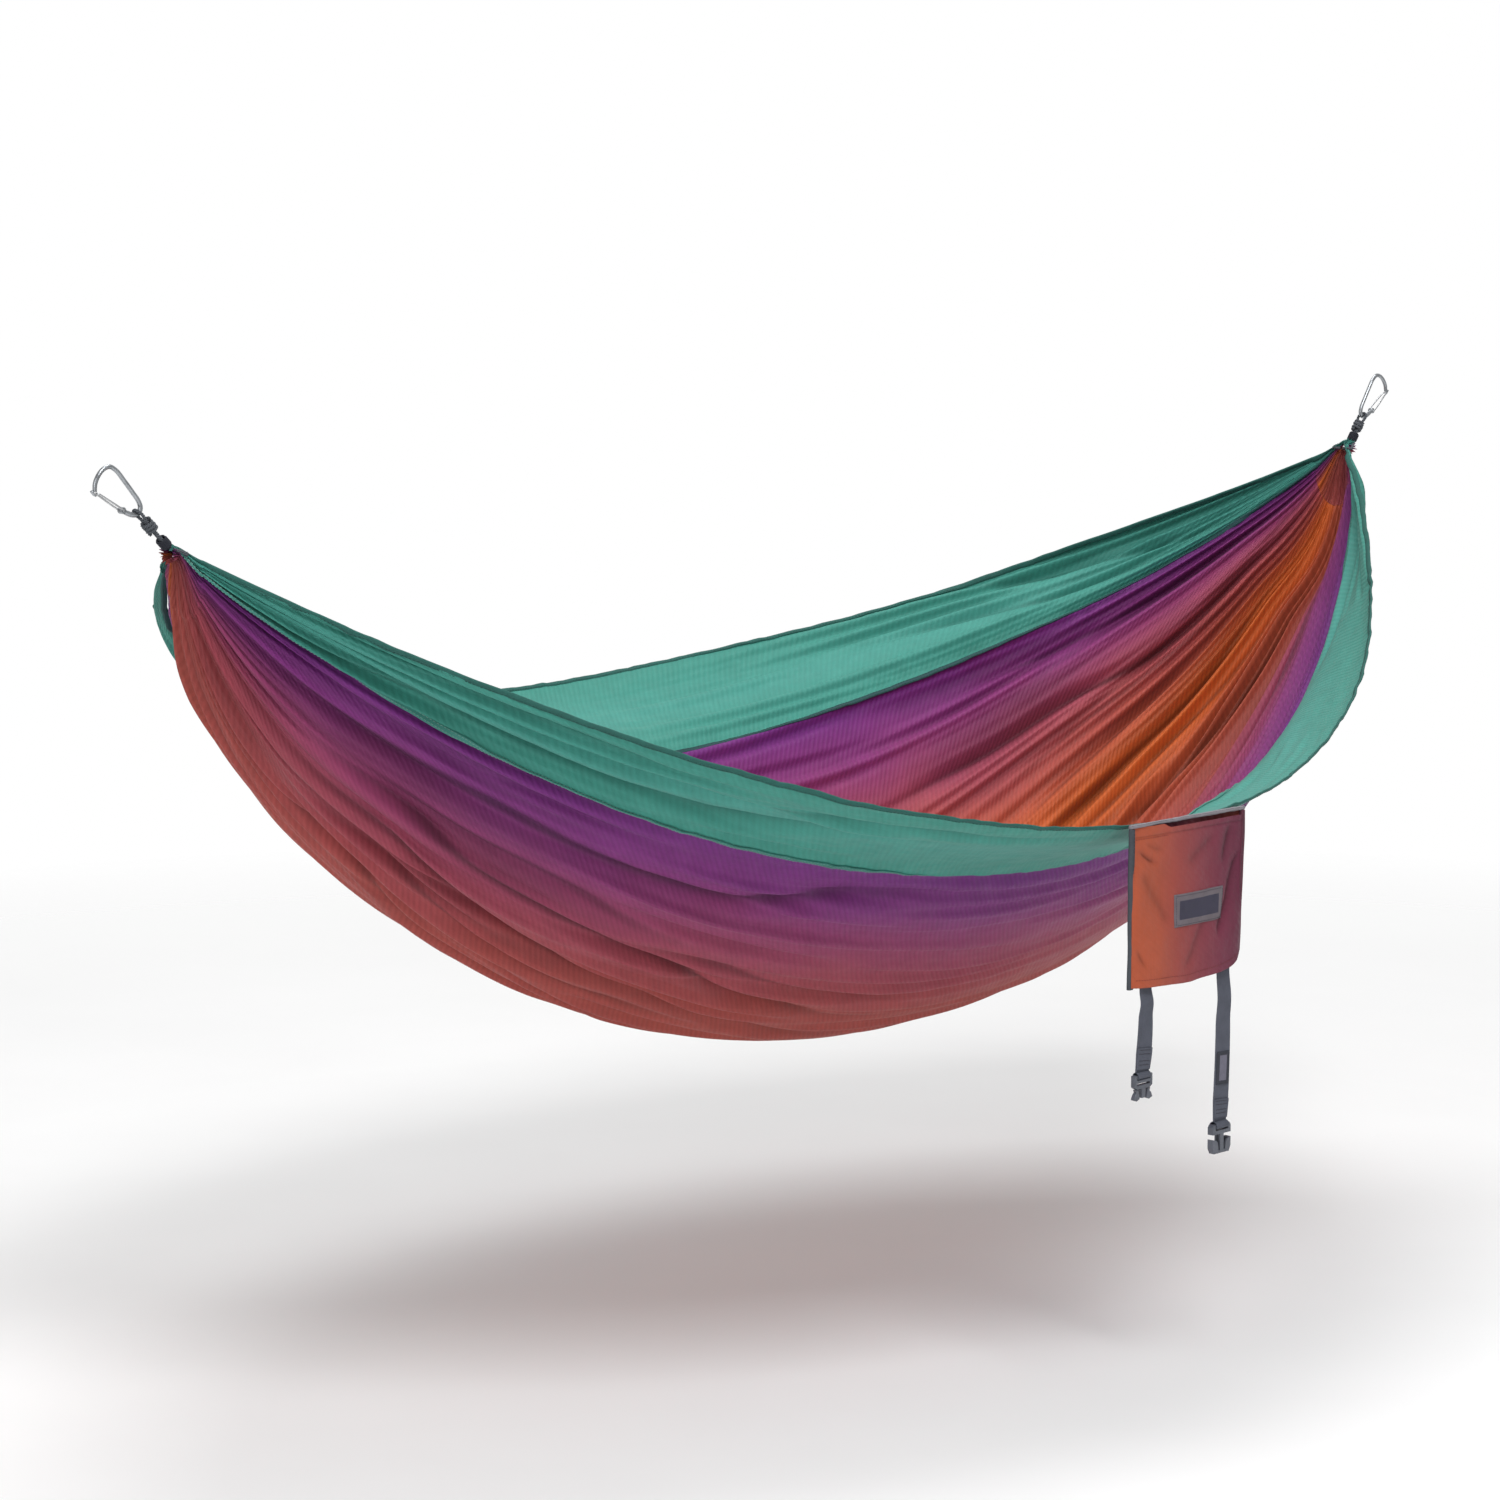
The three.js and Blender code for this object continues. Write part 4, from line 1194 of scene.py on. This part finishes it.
# Creases of the pouch's front: from and to, each (share across, mm down), half width, depth in mm.
SACK_CREASES = [
    ((0.09, 33), (0.20, 47), 2.6, 3.6),
    ((0.14, 24), (0.26, 33), 4.0, 1.2),
    ((0.94, 60), (0.76, 146), 5.0, 4.6),
    ((0.86, 20), (0.80, 60), 6.0, 2.6),
    ((0.05, 150), (0.11, 168), 3.0, 1.8),
    ((0.62, 128), (0.46, 178), 7.0, 1.5),
    ((0.10, 60), (0.30, 120), 9.0, 1.4),
    ((0.70, 30), (0.48, 52), 7.0, 1.4),
]


def mouth(c):
    """How far down the mouth's edge hangs at a share across the sack."""
    places = (0, 0.07, 0.16, 0.30, 0.47, 0.62, 0.76, 0.88, 0.96, 1.0)
    drops = (-3, -1.5, -0.5, 0.5, 2.5, 0.5, -1, -4, -10, -21)
    return SACK_HEIGHT + through(places, drops, c) * MM


def pouch(x, down):
    """How far a face stands off the pouch's middle plane, as in the CAD part."""
    across = np.sqrt(np.clip(1 - (2 * x / SACK_WIDTH) ** 2, 0, None))
    return 0.0016 + SACK_BULGE * across * np.sin(math.pi / 2 * np.clip(down / SACK_HEIGHT, 0, 1))


def sack_relief(x, down, seed):
    """How far the cloth stands out of the smooth pouch, and how much painted shade it takes in its creases and folds.
    """
    c = x / SACK_WIDTH + 0.5
    inner = smooth(c / 0.06) * smooth((1 - c) / 0.06)
    out = 0.0019 * noise(x / 0.055 + seed, down / 0.08 + 3, 41)
    out += 0.0007 * noise(x / 0.02 + seed, down / 0.03, 42)
    out += 0.00025 * noise(x / 0.007, down / 0.009 + seed, 43)
    sack_shade = np.zeros_like(out)
    if seed == 0:
        for (c0, d0), (c1, d1), half_width, depth in SACK_CREASES:
            a = np.array(((c0 - 0.5) * SACK_WIDTH, d0 * MM))
            b = np.array(((c1 - 0.5) * SACK_WIDTH, d1 * MM))
            along, length = (b - a) / np.linalg.norm(b - a), np.linalg.norm(b - a)
            run = (x - a[0]) * along[0] + (down - a[1]) * along[1]
            off = (x - a[0]) * along[1] - (down - a[1]) * along[0] + 0.0012 * np.sin(run / 0.011)
            ends = smooth((run + 0.012) / 0.02) * smooth((length + 0.012 - run) / 0.02)
            g = groove(off, half_width * MM) * ends
            out -= depth * MM * g
            # painted shade along each front fold line
            sack_shade = np.maximum(sack_shade, g**2 * min(depth / 2.6, 1) * 0.8)
    # the stitched fold below the top hem, with painted shade along it
    fold = np.exp(-(((down - 0.0145) / 0.0011) ** 2))
    out -= 0.0009 * fold
    sack_shade = np.maximum(sack_shade, 0.45 * fold)
    return out * inner, sack_shade * inner


def drawn_in(x, down):
    """The sack narrows a little towards its right bottom corner."""
    share = np.clip(x / SACK_WIDTH + 0.5, 0, 1) ** 2
    return x - 0.007 * share * smooth(down / SACK_HEIGHT)


def sack_face(side, x, down, seed):
    out, sack_shade = sack_relief(x, down, seed)
    y = side * (pouch(x, down) + out)
    return SACK_HINGE + np.stack([drawn_in(x, down), y, -down], -1), sack_shade


def sack_cloth(name, side, seed, node):
    """One face of the pouch, rolled over at the mouth to a narrow inner hem."""
    columns, rows = 150, 130
    c = np.linspace(0, 1, columns)
    x = (c - 0.5) * (SACK_WIDTH - 0.004)
    loose = smooth((c - 0.27) / 0.06)
    top = 0.0022 + (0.0048 * loose if side < 0 else 0 * c)
    d = np.linspace(0, 1, rows)[:, None]
    down = top + d * (mouth(c) - top)
    points, sack_shade = sack_face(side, np.broadcast_to(x, down.shape), down, seed)
    if side < 0:
        # the loose part of the top edge stands a little forward of the hem
        lean = loose * smooth((0.985 - c) / 0.04)
        points[..., 1] -= 0.0022 * lean * np.exp(-((down - top) / 0.012))
    else:
        # the back cloth is in shade behind that gap
        sack_shade = np.maximum(sack_shade, 0.8 * loose * np.exp(-((down / 0.010) ** 4)))
    edge, radius = points[-1], 0.0011
    extra, run = [], []
    for angle in np.linspace(0, math.pi, 7)[1:]:
        turned = (0, -side * radius * (1 - math.cos(angle)), -radius * math.sin(angle))
        extra.append(edge + np.array(turned))
        run.append(down[-1] + radius * angle)
    for height in np.linspace(0.0015, 0.012, 8):
        extra.append(edge + np.array((0, -side * 2 * radius, height)))
        run.append(down[-1] + math.pi * radius + height)
    points = np.concatenate([points, np.stack(extra)])
    down = np.concatenate([down, np.stack(run)])
    # painted shade on the turned-in hem at the mouth
    sack_shade = np.concatenate([sack_shade, np.broadcast_to(0.3, (len(extra), columns))])
    uv = np.stack([np.broadcast_to(x, down.shape), down], -1)
    across = np.broadcast_to(c, down.shape)
    if side > 0:
        across = 1 - across * 0.7
    shape = (points, grid_faces(*down.shape), uv, {"across": across, "crease": sack_shade})
    return piece(name, shape, SACK_NYLON, "sack", "sack_cloth", [node])


def on_front(x, down, off):
    """Places a little in front of the pouch's front face."""
    points = sack_face(-1, np.asarray(x, float), np.asarray(down, float), 0)[0]
    points[..., 1] -= off
    return points


def front_stitches(name, lines, material, off, slot, stitch=SACK_STITCH):
    rows = []
    for xs, downs in lines:
        path = on_front(xs, downs, off)
        rows.append(stitch_row(path, *frames_along(path, (0, -1, 0)), **stitch))
    return piece(name, merged(*rows), material, "sack", slot)


def line_between(a, b, count=60):
    t = np.linspace(0, 1, count)
    return a[0] + (b[0] - a[0]) * t, a[1] + (b[1] - a[1]) * t


front_cloth = sack_cloth("sack_front_cloth", -1, 0, "sack_front_panel")
back_cloth = sack_cloth("sack_back_cloth", 1, 9, "sack_back_panel")

c_line = np.linspace(0.03, 0.97, 160)
mouth_line = ((c_line - 0.5) * (SACK_WIDTH - 0.004), mouth(c_line) - 0.0085)
hem_line = line_between((-0.104, 0.0165), (0.104, 0.0165), 160)
front_threads = front_stitches(
    "sack_front_stitching", [mouth_line, hem_line], RUST_STITCH, 0.0001, "sack_cloth"
)
TAPE_OUTLINE = np.array(
    [
        (-0.0036, 0.0024), (-0.0030, 0.0029), (0.0, 0.0030), (0.0026, 0.0026),
        (0.0038, 0.0014), (0.0041, 0.0), (0.0038, -0.0014), (0.0026, -0.0026),
        (0.0, -0.0030), (-0.0030, -0.0029), (-0.0036, -0.0024), (-0.0034, 0.0),
    ]
)


def side_tape(name, side, bottom, material, node):
    """The binding folded round both faces along one edge of the sack."""
    down = np.linspace(0.0028, bottom, 120)
    x = side * (SACK_WIDTH / 2 - 0.0034) + 0.0004 * noise(down / 0.05, 0 * down + side, 51)
    y = 0.0003 * noise(down / 0.03, 0 * down, 52)
    path = SACK_HINGE + np.stack([drawn_in(x, down), y, -down], -1)
    facing, up = frames_along(path, (0, 1, 0))
    outwards = math.copysign(1, float((facing[0] * (side, 0, 0)).sum()))
    shape = sweep(path, facing, up, TAPE_OUTLINE * (outwards, 1))
    tape = piece(name, shape, material, "sack", "edge_trim", [node])
    rows = []
    for face in (1, -1):
        line = path + facing * outwards * -0.0018 + up * face * 0.0031
        rows.append(stitch_row(line, facing, up * face, **SACK_STITCH))
    threads = piece(name + "_stitching", merged(*rows), LABEL_STITCH, "sack", "edge_trim")
    return [tape, threads]


left_tape = side_tape("sack_left_tape", -1, SACK_HEIGHT, SACK_TAPE, "sack_left_binding")
right_tape = side_tape(
    "sack_right_tape", 1, SACK_HEIGHT - 0.021, SACK_MAROON_TAPE, "sack_right_binding"
)


def hem_roll():
    """The rolled hem that the sack hangs from, with a welt of stitches."""
    x = np.linspace(-0.5, 0.5, 200) * (SACK_WIDTH - 0.001)
    y = 0.0003 * noise(x / 0.03, 0 * x, 61)
    path = SACK_HINGE + np.stack([x, y, 0.0003 * noise(x / 0.025, 0 * x + 5, 62)], -1)
    side, up = frames_along(path, (0, 0, 1))
    wobble = 1 + 0.10 * noise(x / 0.006, 0 * x, 63) + 0.05 * noise(x / 0.002, 0 * x, 64)
    shape = sweep(path, side, up, oval(0.0026, 0.0025, 14)[None] * wobble[:, None, None])
    roll = piece("sack_hem_roll", shape, HEM_ROLL, "sack", "edge_trim", ["sack_top_hem"])
    line = path + np.array((0, -0.0021, 0.0014))
    facing = 0 * up + (0, -0.83, 0.55)
    row = stitch_row(line, side, facing, pitch=0.0042, length=0.0031, thick=0.0004)
    threads = piece("sack_hem_stitching", row, LABEL_STITCH, "sack", "edge_trim")
    return [roll, threads]


roll_pieces = hem_roll()


def bordered_patch(name, place, width, height, rim, materials, body, node):
    """A thin patch with a raised rim round a plain field. place(u, v, off) gives its points,
    and materials are the rim's and the field's."""
    columns, rows = 74, 44
    u = np.linspace(-0.5, 0.5, columns) * width
    v = np.linspace(-0.5, 0.5, rows)[:, None] * height
    u, v = np.broadcast_arrays(u, v)
    inside = np.minimum(width / 2 - abs(u), height / 2 - abs(v))
    off = 0.0003 + 0.0007 * smooth(inside / 0.0006)
    off = off + 0.0005 * smooth(inside / 0.0009) * smooth((rim - inside) / 0.0008)
    off = off + 0.00006 * np.sin(u / 0.0006) * np.sin(v / 0.0008)
    points = np.stack([place(u, v, off), place(u, v, 0 * off + 0.0001)])
    faces = grid_faces(rows, columns)
    base = rows * columns
    at = np.arange(base).reshape(rows, columns)
    ring = [*at[0], *at[1:, -1], *at[-1, -2::-1], *at[-2:0:-1, 0]]
    walls = [[a, b, b + base, a + base] for a, b in zip(ring, ring[1:] + ring[:1])]
    every = [*faces.tolist(), *(faces[:, ::-1] + base).tolist(), *walls]
    made = piece(name, (points, every), materials[0], body, "label_cloth", [node])
    made.data.materials.append(materials[1])
    flat = inside.ravel()
    for polygon in made.data.polygons:
        corners = list(polygon.vertices)
        if max(corners) < base and flat[corners].min() > rim - 0.0004:
            polygon.material_index = 1
    return made


patch = bordered_patch(
    "sack_patch",
    lambda u, v, off: on_front(LABEL["x"] + u, LABEL["down"] - v, off),
    LABEL["width"],
    LABEL["height"],
    0.0085,
    (LABEL_RIM, LABEL_FIELD),
    "sack",
    "sack_label",
)
half_u, half_v = LABEL["width"] / 2 - 0.0022, LABEL["height"] / 2 - 0.0022
corners = [
    (LABEL["x"] + a * half_u, LABEL["down"] + b * half_v)
    for a, b in ((-1, -1), (1, -1), (1, 1), (-1, 1))
]
patch_threads = front_stitches(
    "sack_patch_stitching",
    [line_between(a, b) for a, b in zip(corners, corners[1:] + corners[:1])],
    LABEL_STITCH,
    0.0016,
    "label_cloth",
    dict(pitch=0.0032, length=0.0024, thick=0.00038),
)
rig.sheet(
    front_cloth,
    flat=(0.220, 0.214),
    held="hung",
    rests_on=["sack_hem_roll"],
    with_pieces=[front_threads, patch, patch_threads, *left_tape, *roll_pieces],
)
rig.sheet(
    back_cloth, flat=(0.220, 0.214), held="hung", rests_on=["sack_hem_roll"], with_pieces=right_tape
)

# ---------- Straps ----------
STRAP_Y, STRAP_Z = SACK_HINGE[1], SACK_HINGE[2] - SACK_HEIGHT - 0.0015
WEB_WIDTH, WEB_THICK = 0.025, 0.0016
BUCKLE_DROP = 0.0022
# Each strap's place along the sack, its length, how far its end leans aside, its turn about
# its own line as (share down, degrees), its curl forward near the top, and the extra length
# above share 0.
STRAPS = {
    "short": dict(
        x=-0.112,
        length=0.102,
        lean=-0.005,
        turns=((0, 6), (0.4, -3), (0.78, -8), (1, 0)),
        curl=0.0022,
        above=0.0045,
    ),
    "long": dict(
        x=0.038,
        length=0.186,
        lean=-0.003,
        turns=((0, 1), (0.4, -6), (0.86, -9), (1, 0)),
        curl=0.0020,
        above=0.0065,
    ),
}


def web_outline(width, thick):
    """Webbing's section: flat, with a rounded, slightly thicker selvedge along each edge."""
    xs = np.array((-1, -0.975, -0.92, -0.86, -0.80, -0.4, 0, 0.4, 0.80, 0.86, 0.92, 0.975, 1))
    hs = np.array((0.3, 0.85, 1.12, 1.05, 0.86, 0.94, 0.9, 0.94, 0.86, 1.05, 1.12, 0.85, 0.3))
    top = np.stack([xs * width / 2, hs * thick / 2], -1)
    return np.concatenate([top[::-1], top * (1, -1)])


def strap_frames(strap, t):
    """Points of a strap's middle line, and its side and front, at shares t of its length."""
    down = 0.001 + (strap["length"] - 0.001) * t
    hung = np.clip(t, 0, 1)
    x = strap["x"] + strap["lean"] * hung**2
    bow = 0.0016 * np.sin(math.pi * hung)
    curl = strap["curl"] * np.sin(math.pi * np.clip(t / 0.34, 0, 1)) ** 2
    path = np.stack([x, STRAP_Y - bow - curl, STRAP_Z - down], -1)
    angle = np.radians(np.interp(t, *np.array(strap["turns"]).T))
    side = np.stack([np.cos(angle), np.sin(angle), 0 * angle], -1)
    tangent = unit(np.gradient(path, axis=0))
    side = unit(side - tangent * (side * tangent).sum(-1, keepdims=True))
    front = np.cross(side, tangent)
    return path, side, front if front[0][1] < 0 else -front


def build_strap(name):
    """A strap's webbing, doubled end and stitches. Returns the webbing, its middle line and
    the pieces on it."""
    strap, body = STRAPS[name], name + "_strap"
    t = np.linspace(-strap["above"] / strap["length"], 1, 90)
    path, side, front = strap_frames(strap, t)
    shape = sweep(path, side, front, web_outline(WEB_WIDTH, WEB_THICK))
    web = piece(body + "_webbing", shape, WEBBING, body, "webbing", [body])
    # the end is doubled back on the front and stitched down
    low = (t > 1 - 0.030 / strap["length"]) & (t < 1 - 0.0035 / strap["length"])
    tail_path = path[low] + front[low] * WEB_THICK * 1.02
    tail_outline = web_outline(WEB_WIDTH - 0.001, WEB_THICK * 0.94)
    shape = sweep(tail_path, side[low], front[low], tail_outline)
    tail = piece(body + "_tail", shape, WEBBING, body, "webbing")
    rows = []
    places = np.nonzero(low)[0]
    for share in (0.12, 0.30, 0.62, 0.80):
        i = places[int(share * (len(places) - 1))]
        line = path[i] + side[i] * np.linspace(-0.0098, 0.0098, 20)[:, None]
        line = line + front[i] * (WEB_THICK * 1.5)
        along = np.broadcast_to(np.array((0.0, 0.0, 1.0)), line.shape)
        facing = np.broadcast_to(front[i], line.shape)
        rows.append(stitch_row(line, along, facing, pitch=0.0021, length=0.0018, thick=0.0004))
    threads = piece(body + "_stitching", merged(*rows), LABEL_STITCH, body, "webbing")
    return web, path, [tail, threads]


def web_loop(name, body, strap, bar):
    """The webbing's turn round a buckle's bar: bar is its half thickness and its lower edge."""
    half, low = bar
    out = half + WEB_THICK / 2 + 0.0002
    place = np.array((strap["x"] + strap["lean"], STRAP_Y, STRAP_Z - strap["length"] - BUCKLE_DROP))
    way = [
        (-0.0010, 0.0026), (-out * 0.75, 0.0012), (-out, -0.0012), (-out * 0.92, -low * 0.85),
        (0.0, -low - 0.0014), (out * 0.92, -low * 0.85), (out, -0.0012), (out * 0.75, 0.0012),
        (0.0010, 0.0026),
    ]
    path = curve_through([place + (0, y, z) for y, z in way], 0.0006)
    tangent = unit(np.gradient(path, axis=0))
    side = np.broadcast_to(np.array((1.0, 0.0, 0.0)), path.shape)
    shape = sweep(path, side, np.cross(tangent, side), web_outline(0.0236, 0.0013))
    return piece(name, shape, WEBBING, body, "webbing")


web_loop("plug_webbing_turn", "plug", STRAPS["short"], (0.0035, 0.0040))
socket_loop = web_loop("socket_webbing_turn", "socket", STRAPS["long"], (0.0045, 0.0052))
for node in ("plug_body", "plug_left_arm", "plug_right_arm", "socket_body"):
    moulding = frame["nodes"][node]
    moulding.data.materials.clear()
    moulding.data.materials.append(PLASTIC)
    bevel = moulding.modifiers.new("rounded_edges", "BEVEL")
    bevel.width = 0.0005
    bevel.segments = 2
    bevel.limit_method = "ANGLE"
    bevel.angle_limit = math.radians(35)
    bevel.use_clamp_overlap = True

TAB_WIDTH, TAB_HEIGHT, TAB_DOWN = 0.021, 0.041, 0.119


def on_long_strap(u, v, off):
    """Places off the long strap's front: u across it and v up from the label's middle."""
    strap = STRAPS["long"]
    t = np.linspace(0, 1, 200)
    want = (TAB_DOWN - v) / strap["length"]
    path, side, front = (
        np.stack([np.interp(want, t, line[:, k]) for k in range(3)], -1)
        for line in strap_frames(strap, t)
    )
    return path + side * u[..., None] + front * (off + WEB_THICK * 0.55)[..., None]


tab = bordered_patch(
    "strap_tab",
    on_long_strap,
    TAB_WIDTH,
    TAB_HEIGHT,
    0.0050,
    (TAB_RIM, TAB_FIELD),
    "long_strap",
    "strap_label",
)
# The short strap is under six widths long, so it can't be declared as a cord.
build_strap("short")
long_web, long_line, on_long_web = build_strap("long")
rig.cord(
    long_web,
    exit=long_line[0],
    length=float(np.linalg.norm(np.diff(long_line, axis=0), axis=1).sum()),
    diameter=WEB_WIDTH,
    far_end="connector",
    stiffness="medium",
    lay="hanging",
    path=long_line,
    with_pieces=[*on_long_web, tab, socket_loop, frame["nodes"]["socket_body"]],
)


# ---------- Studio ----------
def studio_world():
    """A soft room: white behind the object as the camera sees it, dimmer on the other sides."""
    world = bpy.data.worlds.new("studio")
    world.use_nodes = True
    tree = world.node_tree
    background = tree.nodes["Background"]
    background.inputs["Color"].default_value = (1, 1, 1, 1)
    place = tree.nodes.new("ShaderNodeTexCoord")
    towards = tree.nodes.new("ShaderNodeVectorMath")
    towards.operation = "DOT_PRODUCT"
    a, e = math.radians(CAMERA_AZIMUTH), math.radians(CAMERA_ELEVATION)
    towards.inputs[1].default_value = (
        -math.sin(a) * math.cos(e),
        math.cos(a) * math.cos(e),
        -math.sin(e),
    )
    level = tree.nodes.new("ShaderNodeMapRange")
    for key, number in zip(("From Min", "From Max", "To Min", "To Max"), (0.5, 0.85, 0.46, 1.0)):
        level.inputs[key].default_value = number
    tree.links.new(place.outputs["Generated"], towards.inputs[0])
    tree.links.new(towards.outputs["Value"], level.inputs["Value"])
    tree.links.new(level.outputs["Result"], background.inputs["Strength"])
    return world


def studio_floor():
    n = Nodes("pale_floor")
    spots = n.clouds(n.place("Object"), 1.5, 3.0)
    colour = n.ramp(spots, [(0.3, srgb(246, 246, 246)), (0.7, srgb(250, 250, 250))])
    n.finish(colour, 0.85, specular=0.05)
    far = n.add("ShaderNodeVectorMath", operation="LENGTH")
    n.link(n.add("ShaderNodeTexCoord").outputs["Object"], far.inputs[0])
    clear = n.add("ShaderNodeBsdfTransparent")
    blend = n.add("ShaderNodeMixShader")
    n.link(n.level(far.outputs["Value"], 1.6, 3.8, 0.0, 1.0), blend.inputs[0])
    n.link(n.shader.outputs[0], blend.inputs[1])
    n.link(clear.outputs[0], blend.inputs[2])
    n.link(blend.outputs[0], n.tree.nodes["Material Output"].inputs["Surface"])
    a = 2 * math.pi * np.arange(96) / 96
    points = np.stack([4 * np.cos(a), 4 * np.sin(a), 0 * a], -1)
    floor = make_mesh("floor", points, [list(range(96))])
    floor.location = (0, 0, -1.15)
    floor.data.materials.append(n.material)
    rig.stage(floor)


def studio():
    scene = bpy.context.scene
    scene.view_settings.view_transform = "Standard"
    scene.world = studio_world()
    studio_floor()
    for name, place, aim, size, power in (
        ("key", (-1.6, -3.4, 4.4), (0, 0, -0.4), 2.2, 180),
        ("fill", (-4.6, -1.6, 0.8), (0.0, 0, -0.4), 3.0, 50),
        ("top", (0.8, 0.9, 4.5), (0, 0, -0.4), 2.4, 110),
    ):
        data = bpy.data.lights.new(name, "AREA")
        data.energy = power
        data.size = size
        lamp = bpy.data.objects.new(name, data)
        lamp.location = place
        away = Vector(place) - Vector(aim)
        lamp.rotation_mode = "QUATERNION"
        lamp.rotation_quaternion = away.to_track_quat("Z", "Y")
        scene.collection.objects.link(lamp)


studio()

visual_box = [list(corner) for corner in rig.bounds()]
with open("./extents.json", "w") as out:
    json.dump({"cad": CAD_BOX, "visual": visual_box}, out)
